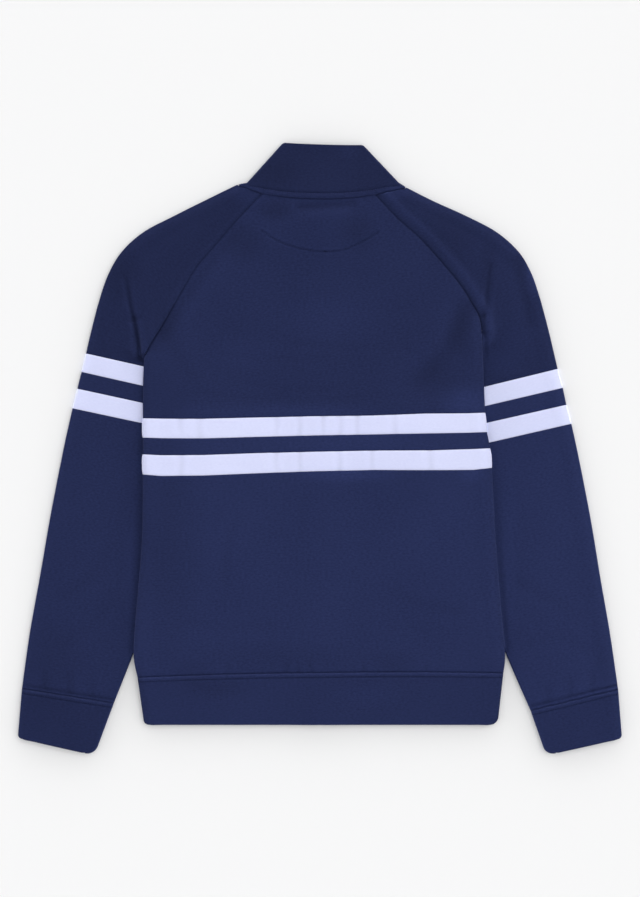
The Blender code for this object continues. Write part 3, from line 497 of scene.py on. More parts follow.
def painted_light_tone(grid, lift, marks):
    """Painted light and shade: the colour is painted darker where the cloth is sunk, lighter where it is
    raised, and darker or lighter in broad soft patches."""
    tone = 1.0 + RISE_TONE * np.clip(lift, -RISE_MOST, RISE_MOST)
    for mark in marks:
        away = np.hypot((grid[..., 0] - mark.x) / mark.wide, (grid[..., 1] - mark.y) / mark.high)
        tone *= 1.0 + mark.tone * hill(away)
    return tone


def soften_edges(piece, width, angle):
    """Rounds the edges of a piece that are sharper than an angle in degrees."""
    edges = piece.modifiers.new("soft_edges", "BEVEL")
    edges.width = width
    edges.segments = 2
    edges.limit_method = "ANGLE"
    edges.angle_limit = math.radians(angle)


OPEN_COLUMNS = 4         # of a closed piece's last columns, left out where it is still open
CLOTH_EDGE = 0.35        # of the wall, rounded off at a piece's rim
CLOTH_EDGE_ANGLE = 60.0


def cloth(name, grid, lift, shade, wall, look, nodes, anchor, closed=False, open_until=0):
    """A piece of cloth through a grid of points, its wall half to each side. shade is how much lighter or
    darker its colour is painted than the back's, as painted light and shade; anchor is the column that its
    knit runs along; a closed piece joins its last column to its first, from row open_until on."""
    rows, columns = grid.shape[:2]
    wide = np.concatenate([grid, grid[:, :1]], 1) if closed else grid
    r, c = np.meshgrid(np.arange(rows - 1), np.arange(wide.shape[1] - 1), indexing="ij")
    kept = np.ones(r.shape, bool)
    if open_until:
        kept[:open_until, -OPEN_COLUMNS:] = False
    r, c = r[kept], c[kept]
    corners = [(r, c), (r, c + 1), (r + 1, c + 1), (r + 1, c)]
    faces = np.stack([i * columns + j % columns for i, j in corners], 1)
    used, numbered = np.unique(faces, return_inverse=True)
    mesh = bpy.data.meshes.new(name)
    mesh.from_pydata(grid.reshape(-1, 3)[used].tolist(), [], numbered.reshape(faces.shape).tolist())
    mesh.shade_smooth()
    across = lengths_along(wide, 1)
    across = across - across[:, anchor:anchor + 1]
    down = lengths_along(wide, 0)[:, anchor:anchor + 1] + 0.0 * across
    layer = mesh.uv_layers.new(name="cut")
    spots = np.stack([np.stack([across[i, j], down[i, j]], 1) for i, j in corners], 1)
    layer.uv.foreach_set("vector", spots.astype(np.float32).ravel())
    # Painted light and shade: the colour is painted darker in ditches and folds, lighter on ridges and in
    # broad patches, and scaled by the piece's painted shade.
    tone = shade * painted_light_tone(grid, lift, PAINTED_LIGHT_PATCHES if look["slot"] == "navy_knit" else ())
    nap_and_painted_light = mesh.attributes.new("nap_and_painted_light", "FLOAT", "POINT")
    nap_and_painted_light.data.foreach_set("value", tone.ravel()[used].astype(np.float32))
    piece = bpy.data.objects.new(name, mesh)
    bpy.context.scene.collection.objects.link(piece)
    mesh.materials.append(look)
    solid = piece.modifiers.new("wall", "SOLIDIFY")
    solid.thickness = wall
    solid.offset = 0.0
    solid.use_even_offset = False
    solid.use_quality_normals = True
    soften_edges(piece, wall * CLOTH_EDGE, CLOTH_EDGE_ANGLE)
    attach(piece, "jacket")
    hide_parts(*nodes)
    points = grid.reshape(-1, 3)[used][numbered.reshape(faces.shape)]
    normals = np.cross(points[:, 2] - points[:, 0], points[:, 3] - points[:, 1])
    return piece


class Shade:
    """A socket of a material's nodes, for use in sums: each sum adds the Math nodes that it needs."""

    def __init__(self, tree, socket=None):
        self.tree = tree
        self.socket = socket

    def node(self, kind, settings, inputs, output=0):
        """Any node: its type, its settings, then the values or links of its sockets, by name or number."""
        made = self.tree.nodes.new(kind)
        for key, value in settings.items():
            setattr(made, key, value)
        for key, value in inputs.items():
            if isinstance(value, Shade):
                self.tree.links.new(value.socket, made.inputs[key])
            else:
                made.inputs[key].default_value = value
        return Shade(self.tree, made.outputs[output])

    def math(self, operation, *values):
        return self.node("ShaderNodeMath", {"operation": operation}, dict(enumerate(values)))

    def __add__(self, other):
        return self.math("ADD", self, other)

    def __radd__(self, other):
        return self.math("ADD", other, self)

    def __sub__(self, other):
        return self.math("SUBTRACT", self, other)

    def __rsub__(self, other):
        return self.math("SUBTRACT", other, self)

    def __mul__(self, other):
        return self.math("MULTIPLY", self, other)

    def __rmul__(self, other):
        return self.math("MULTIPLY", other, self)

    def __truediv__(self, other):
        return self.math("DIVIDE", self, other)

    def __abs__(self):
        return self.math("ABSOLUTE", self)

    def part(self, index):
        """One of the three numbers of a vector."""
        return self.node("ShaderNodeSeparateXYZ", {}, {0: self}, output=index)

    def noise(self, scale, detail, roughness=0.5):
        """Uneven tone from 0 to 1 over these places."""
        inputs = {"Vector": self, "Scale": scale, "Detail": detail, "Roughness": roughness}
        return self.node("ShaderNodeTexNoise", {}, inputs)

    def feed(self, shader, socket_name):
        """Links this value to a socket of a shader."""
        self.tree.links.new(self.socket, shader.inputs[socket_name])

    def blend(self, first, second):
        """A colour between two others, by this value."""
        return self.node(
            "ShaderNodeMix", {"data_type": "RGBA"}, {0: self, 6: (*first, 1.0), 7: (*second, 1.0)}, output=2
        )


def new_material(name, slot_name, roughness, metallic=0.0):
    """A material with a Principled shader; returns it, its shader and a start for its nodes."""
    made = bpy.data.materials.new(name)
    made.use_nodes = True
    made["slot"] = slot_name
    shader = made.node_tree.nodes["Principled BSDF"]
    shader.inputs["Roughness"].default_value = roughness
    shader.inputs["Metallic"].default_value = metallic
    return made, shader, Shade(made.node_tree)


WALE = 0.0009            # width of one column of stitches
COURSE = 0.0007          # height of one stitch
MATT = 0.05              # the brushed face of the knit hardly mirrors the windows


def wave(value):
    """Falls from 1 to 0 and rises back to 1, once for each whole step of a value."""
    return abs(value.math("FRACT", value) - 0.5) * 2.0


def warp_knit(name, slot_name, dark, light, sheen, flecks):
    """Warp knit: upright columns of small slanting stitches, a soft nap, a faint uneven tone, and the painted
    light and shade that each piece carries.
    """
    made, shader, start = new_material(name, slot_name, 0.72)
    cut = start.node("ShaderNodeUVMap", {"uv_map": "cut"}, {})
    from_middle = wave(cut.part(0) / WALE)
    stitch = wave(cut.part(1) / COURSE + from_middle * 0.5)
    loops = (1.0 - from_middle * from_middle) * (0.65 + stitch * 0.35)
    # The fine nap's unevenness, which only bumps and roughens the surface.
    nap_and_painted_light = cut.noise(2600.0, 2.0)
    tone = cut.noise(9.0, 3.0, 0.55)
    streaked = start.node("ShaderNodeVectorMath", {"operation": "MULTIPLY"}, {0: cut, 1: (0.7, 1.3, 1.0)})
    heather = streaked.noise(380.0, 1.5)
    share = 0.40 + (tone - 0.5) * 0.5 + (heather - 0.5) * flecks + loops * 0.2
    # The painted light and shade that each piece carries, as a scale on its colour.
    painted_light_and_shade = start.node("ShaderNodeAttribute", {"attribute_name": "nap_and_painted_light"}, {}, output=2)
    colour = start.node(
        "ShaderNodeVectorMath", {"operation": "SCALE"}, {0: share.blend(dark, light), "Scale": painted_light_and_shade}
    )
    bump = start.node(
        "ShaderNodeBump", {}, {"Strength": 0.35, "Distance": 0.0003, "Height": loops * 0.8 + nap_and_painted_light * 0.3}
    )
    rough = 0.66 + nap_and_painted_light * 0.16
    colour.feed(shader, "Base Color")
    bump.feed(shader, "Normal")
    rough.feed(shader, "Roughness")
    shader.inputs["Specular IOR Level"].default_value = MATT
    shader.inputs["Sheen Weight"].default_value = sheen
    shader.inputs["Sheen Roughness"].default_value = 0.45
    return made


navy_knit = warp_knit("navy_knit", "navy_knit", (0.0108, 0.0162, 0.0570), (0.0178, 0.0256, 0.0830), 0.02, 1.6)

SEAM_STEPS = 40
LEFT_RAGLAN_LINE = smooth_line([row[:2] for row in BACK_RAGLAN], SEAM_STEPS)
RIGHT_RAGLAN_LINE = smooth_line([row[2:] for row in BACK_RAGLAN], SEAM_STEPS)
LEFT_DITCH = (0.0008, 0.0012)     # of the raglan seams at the neck and at the armpit
RIGHT_DITCH = (0.0011, 0.0015)
RAGLAN_WIDTH = 0.0017
STRIP_DITCH = 0.0004     # of the other seams: at a band, at the neck, and at the waist and cuffs
NECK_DITCH = 0.0013
WAIST_DITCH = 0.0008
HALF_MOON = smooth_line((
    (-0.0735, 0.2745), (-0.0556, 0.2629), (-0.0379, 0.2558), (-0.0164, 0.2505),
    (0.0063, 0.2484), (0.0278, 0.2503), (0.0468, 0.2579), (0.0607, 0.2647), (0.0733, 0.2735),
), SEAM_STEPS)
MOON_MIDDLE = SEAM_STEPS // 2
UPPER_BACK_LINES = (
    seam(LEFT_RAGLAN_LINE, *LEFT_DITCH, RAGLAN_WIDTH),
    seam(RIGHT_RAGLAN_LINE, *RIGHT_DITCH, RAGLAN_WIDTH),
    seam(HALF_MOON[:MOON_MIDDLE + 1], 0.0004, 0.0011, 0.0014, 0.0002, 0.0030),
    seam(HALF_MOON[MOON_MIDDLE:], 0.0011, 0.0005, 0.0014, 0.0002, 0.0030),
    crease(
        0.0003, 0.0009, 0.0080,
        (-0.0980, 0.2800), (-0.1420, 0.2300), (-0.1780, 0.1790), (-0.2080, 0.1260),
    ),
    crease(0.0012, 0.0008, 0.0060, (-0.0230, 0.3040), (0.0040, 0.3050), (0.0400, 0.3085)),
    crease(0.0009, 0.0005, 0.0110, (0.1880, 0.1760), (0.1740, 0.1450), (0.1560, 0.1150), (0.1240, 0.0800)),
    crease(0.0004, 0.0002, 0.0090, (-0.1960, 0.1440), (-0.1800, 0.1150), (-0.1620, 0.0880)),
    crease(0.0002, 0.0001, 0.0040, (-0.1560, 0.0700), (-0.1000, 0.0640), (-0.0450, 0.0660)),
    crease(0.0001, 0.0002, 0.0036, (-0.0800, 0.0780), (-0.0200, 0.0730), (0.0450, 0.0760)),
    crease(0.0002, 0.0001, 0.0040, (0.0200, 0.0630), (0.0750, 0.0660), (0.1150, 0.0640)),
    crease(0.0001, 0.0002, 0.0045, (-0.1250, 0.1180), (-0.0600, 0.1120), (0.0050, 0.1150)),
    crease(0.0002, 0.0001, 0.0045, (-0.0300, 0.1320), (0.0400, 0.1270), (0.1100, 0.1300)),
    crease(0.0005, 0.0002, 0.0050, (0.0900, 0.3180), (0.0935, 0.3120), (0.0950, 0.3050)),
)
LOWER_BACK_LINES = (
    crease(0.0001, 0.0003, 0.0070, (-0.0950, -0.0800), (-0.1150, -0.1150), (-0.1200, -0.1700)),
    crease(0.0002, 0.0001, 0.0060, (-0.0200, -0.0650), (-0.0250, -0.1000), (-0.0150, -0.1400)),
    crease(0.0002, 0.0003, 0.0070, (0.0950, -0.1850), (0.1350, -0.2000), (0.1800, -0.2080)),
    crease(0.0001, 0.0002, 0.0060, (-0.1700, -0.2200), (-0.1100, -0.2280), (-0.0600, -0.2250)),
    crease(0.0001, 0.0005, 0.0035, (-0.0430, -0.2660), (-0.0415, -0.2740), (-0.0420, -0.2840)),
    crease(0.0001, 0.0006, 0.0030, (-0.0270, -0.2700), (-0.0262, -0.2760), (-0.0268, -0.2845)),
    crease(0.0001, 0.0005, 0.0032, (-0.0110, -0.2650), (-0.0120, -0.2740), (-0.0112, -0.2850)),
    crease(0.0001, 0.0004, 0.0035, (0.0560, -0.2690), (0.0550, -0.2760), (0.0556, -0.2845)),
    crease(0.0001, 0.0005, 0.0036, (-0.1180, -0.2720), (-0.1172, -0.2780), (-0.1180, -0.2865)),
    crease(0.0001, 0.0005, 0.0034, (0.1340, -0.2680), (0.1352, -0.2750), (0.1345, -0.2835)),
)

# The lower panels' colour is painted lighter than the upper back's: painted light.
LOWER_SHADE = 1.13
chest_rows = side_rows("armpit", "upper_top", FINE, False)[1:]
upper_rows = seam_ends(raglan_rows(BACK_RAGLAN, RAGLAN_PLACES) + chest_rows)
upper_grid, upper_lift = back_grid(upper_rows, UPPER_BACK_LINES, NECK_DITCH, STRIP_DITCH)
lower_rows = seam_ends(side_rows("lower_bottom", "waist_seam"))
lower_grid, lower_lift = back_grid(lower_rows, LOWER_BACK_LINES, STRIP_DITCH, WAIST_DITCH)
middle_column = upper_grid.shape[1] // 2
cloth("back_upper_cloth", upper_grid, upper_lift, 1.0, WALL, navy_knit, ["back_upper"],
      middle_column)
cloth("back_lower_cloth", lower_grid, lower_lift, LOWER_SHADE, WALL, navy_knit, ["back_lower"],
      middle_column)


# ==== Fronts: two panels above the bands and two below ===============================================
# The same knit. Their edges along the middle are sewn to the zip tapes, 5 mm from its teeth; their sides
# meet the back in the side folds, and they lie on the table and on the inner halves of the sleeves.
ZIP_EDGE = 0.005         # the fronts stop this far from the middle of the zip
ZIP_AT_NECK = 0.2402     # where the row at the neck meets it, and the row at the armpits
ZIP_AT_ARMPIT = 0.1280
ZIP_EASE = 0.060         # below the armpits, the zip's rows come level with the sides over this
NECK_SCOOP = 1.8         # how sharply the front neck turns up towards the shoulder
FRONT_RAGLAN = (
    Raglan(-0.0920, 0.2920, 0.0920, 0.2920),
    Raglan(-0.1170, 0.2640, 0.1130, 0.2720),
    Raglan(-0.1410, 0.2380, 0.1350, 0.2505),
    Raglan(-0.1610, 0.2140, 0.1560, 0.2260),
    Raglan(-0.1820, 0.1810, 0.1765, 0.2010),
    Raglan(-0.1985, 0.1540, 0.1920, 0.1800),
    Raglan(-0.2120, 0.1335, 0.2020, 0.1625),
    Raglan(-0.2220, 0.1170, 0.2050, 0.1460),
)
FRONT_WIDTH = 0.215
FRONT_STEPS = spaced(FRONT_WIDTH, COARSE)
FRONT_RAGLAN_WIDTH = 0.0020
LEFT_FRONT_RAGLAN_LINE = smooth_line([row[:2] for row in FRONT_RAGLAN], SEAM_STEPS)
RIGHT_FRONT_RAGLAN_LINE = smooth_line([row[2:] for row in FRONT_RAGLAN], SEAM_STEPS)
FRONT_LINES = (
    seam(LEFT_FRONT_RAGLAN_LINE, *LEFT_DITCH, FRONT_RAGLAN_WIDTH),
    seam(RIGHT_FRONT_RAGLAN_LINE, *RIGHT_DITCH, FRONT_RAGLAN_WIDTH),
    crease(0.0009, 0.0007, 0.0150, (-0.0700, 0.2300), (-0.0800, 0.1500), (-0.0720, 0.0600)),
    crease(0.0008, 0.0009, 0.0170, (0.0850, 0.2200), (0.0780, 0.1400), (0.0900, 0.0500)),
    crease(0.0009, 0.0006, 0.0140, (-0.0600, -0.0500), (-0.0700, -0.1500), (-0.0620, -0.2500)),
    crease(0.0007, 0.0010, 0.0160, (0.0650, -0.0600), (0.0560, -0.1400), (0.0680, -0.2500)),
)


def front_zip_y(row):
    """Where a row below the armpits meets the zip."""
    middle = (row.left_y + row.right_y) / 2 - row.sag
    armpit = (SIDES[0].left_y + SIDES[0].right_y) / 2
    return middle - (armpit - ZIP_AT_ARMPIT) * ease(1.0 - (armpit - middle) / ZIP_EASE)


def front_grid(side, rows, places, first, last):
    """Points of a front from the zip to its side. places are its rows' places along the raglan seam, or
    None below it; side is -1 for the left front and 1 for the right."""
    grid, facing = [], []
    for row, t in zip(rows, places):
        side_x, side_y = (row.left_x, row.left_y) if side < 0 else (row.right_x, row.right_y)
        zip_y = front_zip_y(row) if t is None else mix(ZIP_AT_NECK, ZIP_AT_ARMPIT, t)
        scoop = 1.0 if t is None else 1.0 + NECK_SCOOP * (1.0 - t) ** 2
        edge = edge_steps(row.folded)
        insets, turned = edge[1:, 0], edge[1:, 1]
        level = mix(side * ZIP_EDGE, side_x - side * edge[0, 0], FRONT_STEPS)
        x = np.concatenate([level, side_x - side * insets])
        y = np.concatenate([mix(zip_y, side_y, FRONT_STEPS ** scoop), np.full(len(insets), side_y)])
        rise = np.concatenate([np.zeros(len(FRONT_STEPS)), turned])
        grid.append(np.stack([x, y, front_height(x, y) + rise], 1))
        facing.append(rise / (LOFT / 2) - 1.0)
    grid = np.array(grid)
    lift = relief(grid[..., 0], grid[..., 1], FRONT_LINES) + end_ditches(grid, first, last)
    press(grid, np.array(facing), lift)
    return grid, lift


coarse_places = spaced(RAGLAN_LENGTH, COARSE, True)
coarse_chest = side_rows("armpit", "upper_top", COARSE, False)[1:]
coarse_upper = seam_ends(raglan_rows(FRONT_RAGLAN, coarse_places) + coarse_chest)
coarse_lower = seam_ends(side_rows("lower_bottom", "waist_seam", COARSE))
upper_places = list(coarse_places) + [None] * len(coarse_chest)
lower_places = [None] * len(coarse_lower)
FrontPanel = namedtuple("FrontPanel", "name rows places first last shade")
FRONT_PANELS = (
    FrontPanel("upper", coarse_upper, upper_places, NECK_DITCH, STRIP_DITCH, 1.0),
    FrontPanel("lower", coarse_lower, lower_places, STRIP_DITCH, WAIST_DITCH, LOWER_SHADE),
)
for side, label in ((-1, "left"), (1, "right")):
    for panel in FRONT_PANELS:
        grid, lift = front_grid(side, panel.rows, panel.places, panel.first, panel.last)
        name = f"front_{label}_{panel.name}"
        cloth(name + "_cloth", grid, lift, panel.shade, WALL, navy_knit, [name],
              len(FRONT_STEPS) // 2)


# ==== Bands let in round the body ====================================================================
# Two pale bands and the dark strip between them, each one length of knit from one edge of the zip round
# the body to the other. Their narrow seams pucker the bands a little.
FOLD_TURNS = tuple(range(162, 0, -18))    # degrees of a side fold, from the front cloth to the back cloth
Strip = namedtuple("Strip", "name top bottom is_band")
STRIPS = (
    Strip("band_upper", "upper_top", "upper_bottom", True),
    Strip("middle", "upper_bottom", "lower_top", False),
    Strip("band_lower", "lower_top", "lower_bottom", True),
)
BAND_LINES = (
    crease(0.0004, 0.0002, 0.0035, (-0.1760, 0.0360), (-0.1765, 0.0260), (-0.1740, 0.0170)),
    crease(0.0002, 0.0004, 0.0040, (-0.1520, 0.0350), (-0.1530, 0.0260), (-0.1515, 0.0150)),
    crease(0.0004, 0.0002, 0.0032, (-0.0560, 0.0380), (-0.0550, 0.0280), (-0.0565, 0.0180)),
    crease(0.0003, 0.0005, 0.0030, (-0.0260, 0.0380), (-0.0250, 0.0260), (-0.0262, 0.0160)),
    crease(0.0005, 0.0002, 0.0028, (0.0040, 0.0390), (0.0035, 0.0280), (0.0045, 0.0180)),
    crease(0.0003, 0.0004, 0.0034, (0.0255, 0.0390), (0.0262, 0.0280), (0.0250, 0.0170)),
    crease(0.0004, 0.0003, 0.0030, (0.0470, 0.0400), (0.0462, 0.0290), (0.0475, 0.0180)),
    crease(0.0002, 0.0004, 0.0038, (0.0950, 0.0410), (0.0945, 0.0300), (0.0955, 0.0190)),
    crease(0.0003, 0.0004, 0.0036, (-0.1750, -0.0090), (-0.1745, -0.0200), (-0.1760, -0.0320)),
    crease(0.0004, 0.0002, 0.0033, (-0.0550, -0.0060), (-0.0562, -0.0160), (-0.0548, -0.0290)),
    crease(0.0003, 0.0004, 0.0030, (-0.0250, -0.0050), (-0.0258, -0.0160), (-0.0246, -0.0280)),
    crease(0.0002, 0.0005, 0.0032, (0.0245, -0.0040), (0.0255, -0.0150), (0.0248, -0.0270)),
    crease(0.0004, 0.0003, 0.0030, (0.0660, -0.0040), (0.0655, -0.0150), (0.0662, -0.0260)),
    crease(0.0002, 0.0004, 0.0040, (0.1400, -0.0030), (0.1395, -0.0140), (0.1405, -0.0250)),
)
LEFT_BULGE = 0.0013      # how far a band stands out at its side folds
RIGHT_BULGE = 0.0007
# The dark strip's colour is painted lighter than the back's: painted light.
MIDDLE_SHADE = 1.17
pale_knit = warp_knit("pale_knit", "pale_knit", (0.565, 0.590, 0.840), (0.705, 0.735, 0.950), 0.02, 0.5)


def round_grid(rows, wall, lines, first, last):
    """Points once round the body, row by row: left front, side fold, back, side fold, right front."""
    rise, half = (wall - WALL) / 2, LOFT / 2
    inset = wall / 2 + half
    turns = np.radians(FOLD_TURNS)
    grid, share, rims = [], [], []
    for row in rows:
        halves = []
        for side, side_x, side_y in ((-1, row.left_x, row.left_y), (1, row.right_x, row.right_y)):
            x = mix(side * ZIP_EDGE, side_x - side * inset, FRONT_STEPS)
            y = mix(front_zip_y(row), side_y, FRONT_STEPS)
            x = np.concatenate([x, side_x - side * (inset - half * np.sin(turns))])
            y = np.concatenate([y, np.full(len(turns), side_y)])
            halves.append((x, y))
        back_x = mix(row.left_x + inset, row.right_x - inset, BACK_STEPS)
        back_y = row_y(row, BACK_STEPS)
        x = np.concatenate([halves[0][0], back_x, halves[1][0][::-1]])
        y = np.concatenate([halves[0][1], back_y, halves[1][1][::-1]])
        low = front_height(x, y) + rise
        from_side = np.minimum(x - row.left_x, row.right_x - x)
        high = back_height(x, y) + rise + rolled(from_side)
        rims.append(rim_painted_shade(from_side))
        front_share = np.concatenate([np.zeros(len(FRONT_STEPS)), (1.0 + np.cos(turns)) / 2])
        up = np.concatenate([front_share, np.ones(len(BACK_STEPS)), front_share[::-1]])
        grid.append(np.stack([x, y, mix(low, high, up)], 1))
        share.append(up)
    grid, facing = np.array(grid), 2.0 * np.array(share) - 1.0
    lift = relief(grid[..., 0], grid[..., 1], lines) + end_ditches(grid, first, last)
    press(grid, facing, lift)
    # The lift that is returned also carries painted shade in the side folds and on the cloth that rolls down
    # to them.
    return grid, lift - FOLD_PAINTED_SHADE * (facing < FACES_UP) - np.array(rims)


def bulged(rows):
    """Rows of a band whose ends stand out at the side folds, between its two seams."""
    shares = np.sin(np.linspace(0.0, math.pi, len(rows)))
    return [
        row._replace(left_x=row.left_x - LEFT_BULGE * share, right_x=row.right_x + RIGHT_BULGE * share)
        for row, share in zip(rows, shares)
    ]


for strip in STRIPS:
    rows = seam_ends(side_rows(strip.top, strip.bottom))
    rows = bulged(rows) if strip.is_band else rows
    lines = BAND_LINES if strip.is_band else ()
    grid, lift = round_grid(rows, WALL, lines, STRIP_DITCH, STRIP_DITCH)
    look, shade = (pale_knit, 1.0) if strip.is_band else (navy_knit, MIDDLE_SHADE)
    cloth(f"body_{strip.name}_cloth", grid, lift, shade, WALL, look, ["body_" + strip.name],
          grid.shape[1] // 2)


# ==== Sleeves: caps, bands and forearms ==============================================================
# Each raglan sleeve is one tube of knit with its seam under the arm and two pale bands let in above the
# elbow. Its cap is sewn between the back and the front; below the armpit its inner half lies under the
# body. The cloth turned under beside the raglan seam makes a soft ridge on the sleeve.
SLEEVE_CROWN = 0.0008    # how much more a sleeve stands up along its middle
SEAM_RAMP = 0.030        # a sleeve comes level with the body over this, beside the raglan seam
UNDER_ARM_FADE = 0.5     # and no longer does from this share of the way from the armpit to the bands
UNDER_BODY_MARGIN = 0.0060   # outside the body's side, where a sleeve is already pressed flat
LEAST_REACH = 0.0010         # over which it is pressed flat where the body covers nearly all of it
ARMPIT_TUCK = 0.0050     # how much further a sleeve runs in under the body just below the armpit
PRESSED_FLAT = 1.5 * WALL    # height of the middle of the upper layer where it lies on the lower one
BODY_EDGE_AWAY = 0.0030  # from the body's side to the middle of the trough that it presses into a sleeve
SHOULDER = (
    Raglan(-0.1052, 0.3326, 0.1096, 0.3290),
    Raglan(-0.1447, 0.3135, 0.1447, 0.3116),
    Raglan(-0.1854, 0.2932, 0.1854, 0.2932),
    Raglan(-0.2235, 0.2730, 0.2235, 0.2730),
    Raglan(-0.2510, 0.2480, 0.2510, 0.2485),
    Raglan(-0.2685, 0.2180, 0.2665, 0.2230),
    Raglan(-0.2806, 0.1820, 0.2765, 0.1955),
    Raglan(-0.2910, 0.1416, 0.2840, 0.1690),
)
SLEEVE_WIDTH = 0.150
UPPER_STEPS = spaced(SLEEVE_WIDTH, FINE, False, True)
UNDER_STEPS = spaced(SLEEVE_WIDTH, COARSE, False, True)
OUTER_TURNS = np.radians(range(18, 180, 18))
INNER_TURNS = np.radians((135.0, 90.0, 45.0))
BODY_SIDES = SIDES[2:-1]
LEFT_BODY_EDGE = [(row.left_x - BODY_EDGE_AWAY, row.left_y) for row in BODY_SIDES]
RIGHT_BODY_EDGE = [(row.right_x + BODY_EDGE_AWAY, row.right_y) for row in BODY_SIDES]
SLEEVE_LINES = (
    seam(LEFT_RAGLAN_LINE, *LEFT_DITCH, RAGLAN_WIDTH, 0.00035, 0.0050),
    seam(RIGHT_RAGLAN_LINE, 0.0005, 0.0008, RAGLAN_WIDTH),
    seam(RIGHT_RAGLAN_LINE, 0.0005, 0.0010, 0.0044, 0.00095, 0.0105),
    # These two troughs beside the body's sides also get painted shade, standing in for the body's shadow on
    # the sleeves.
    seam(LEFT_BODY_EDGE, 0.0006, 0.0005, 0.0024),
    seam(RIGHT_BODY_EDGE, 0.0003, 0.0008, 0.0022),
    seam(((-0.3762, -0.2998), (-0.2595, -0.3184)), 0.0007, 0.0012, 0.0016),
    crease(0.0011, 0.0007, 0.0016, (0.2680, -0.3262), (0.3050, -0.3170), (0.3320, -0.3104)),
    crease(0.0006, 0.0016, 0.0016, (0.3220, -0.3126), (0.3500, -0.3058), (0.3752, -0.2998)),
    crease(
        0.0004, 0.0016, 0.0030,
        (-0.2470, 0.2170), (-0.2432, 0.2050), (-0.2400, 0.1830), (-0.2356, 0.1630),
    ),
    crease(0.0016, 0.0030, 0.0034, (-0.2356, 0.1630), (-0.2310, 0.1410), (-0.2270, 0.1130)),
    crease(0.0006, 0.0010, 0.0034, (0.2150, 0.2310), (0.2130, 0.2060), (0.2105, 0.1870), (0.2080, 0.1670)),
    crease(0.0010, 0.0002, 0.0024, (0.2080, 0.1670), (0.2085, 0.1400), (0.2100, 0.1100)),
    crease(0.0009, 0.0005, 0.0080, (0.2490, 0.2350), (0.2590, 0.2050), (0.2667, 0.1580)),
    crease(0.0001, 0.0003, 0.0080, (-0.2700, -0.1300), (-0.2900, -0.1650), (-0.3250, -0.1900)),
    crease(0.0001, 0.0003, 0.0080, (-0.2600, -0.1900), (-0.2900, -0.2250), (-0.3300, -0.2480)),
    crease(0.0003, 0.0001, 0.0080, (0.2500, -0.1700), (0.2850, -0.1900), (0.3250, -0.2150)),
    crease(0.0002, 0.0002, 0.0075, (0.2650, -0.2500), (0.3000, -0.2400), (0.3350, -0.2550)),
    crease(0.0003, 0.0006, 0.0045, (-0.3480, -0.2880), (-0.3470, -0.2960), (-0.3475, -0.3040)),
    crease(0.0003, 0.0006, 0.0050, (-0.3180, -0.2890), (-0.3160, -0.3000), (-0.3168, -0.3110)),
    crease(0.0002, 0.0005, 0.0045, (-0.2900, -0.2980), (-0.2888, -0.3070), (-0.2895, -0.3160)),
    crease(0.0003, 0.0006, 0.0050, (0.3420, -0.2850), (0.3440, -0.2960), (0.3432, -0.3080)),
    crease(0.0003, 0.0005, 0.0048, (0.3150, -0.2950), (0.3162, -0.3050), (0.3155, -0.3160)),
    crease(0.0002, 0.0006, 0.0050, (0.2860, -0.3030), (0.2878, -0.3130), (0.2870, -0.3240)),
)
SLEEVE_UNDER_LINES = (
    seam(LEFT_FRONT_RAGLAN_LINE, *LEFT_DITCH, FRONT_RAGLAN_WIDTH),
    seam(RIGHT_FRONT_RAGLAN_LINE, *RIGHT_DITCH, FRONT_RAGLAN_WIDTH),
    crease(0.0009, 0.0006, 0.0120, (-0.2550, 0.0300), (-0.2750, -0.0900), (-0.3100, -0.2500)),
    crease(0.0007, 0.0009, 0.0130, (0.2600, 0.0200), (0.2850, -0.1000), (0.3050, -0.2600)),
)

# A line round a sleeve: its outer edge, its inner edge on the back and on the front, the distance between
# its layers, whether it closes there, its wall, how far its inner edge is turned into the side fold, and
# how much of the body's height that edge takes, both from 0 to 1.
Ring = namedtuple("Ring", "outer back front loft closed wall turn fade")


def cap_rings(side):
    """Sleeve rows from the neck to the armpit, open where the raglan seams are."""
    rings = []
    for t in RAGLAN_PLACES:
        corners = []
        for table in (SHOULDER, BACK_RAGLAN, FRONT_RAGLAN):
            left_x, left_y, right_x, right_y = along(table, t)
            corners.append(np.array((left_x, left_y) if side < 0 else (right_x, right_y)))
        outer, back, front = corners
        gap = np.array((side * RAGLAN_INSET, 0.0))
        rings.append(Ring(outer, back + gap, front + gap, LOFT, False, WALL, armpit_turn(t), 1.0))
    return rings


def arm_rings(cuts, start, end, spacing=FINE, seam_above=True):
    """Sleeve rows between two named lines below the armpit, closed round the arm."""
    first, last = place(cuts, start), place(cuts, end)
    length = math.dist(along(cuts, first)[:2], along(cuts, last)[:2])
    rings = []
    for t in spaced(length, spacing, seam_above, True):
        outer_x, outer_y, inner_x, inner_y, loft = along(cuts, mix(first, last, t))
        tuck = 0.0 if seam_above else ARMPIT_TUCK * math.sin(math.pi * t) ** 0.8
        inner = np.array((inner_x - math.copysign(tuck, inner_x), inner_y))
        fade = 0.0 if seam_above else max(0.0, 1.0 - t / UNDER_ARM_FADE) ** 1.5
        rings.append(Ring(np.array((outer_x, outer_y)), inner, inner, loft, True, WALL, ARMPIT_TURN, fade))
    return rings


def ring_ends(rings):
    """Rings with the first and last moved half a seam gap into the piece."""
    rings = list(rings)
    for index, shift in ((0, -SEAM / 2), (-1, SEAM / 2)):
        move, ring = np.array((0.0, shift)), rings[index]
        rings[index] = ring._replace(outer=ring.outer + move, back=ring.back + move, front=ring.front + move)
    return rings


def body_edge(y):
    """How far from the middle the body reaches at y, on its narrower side."""
    below = [-row.left_y for row in SIDES]
    return np.interp(-y, below, [min(abs(row.left_x), row.right_x) for row in SIDES])


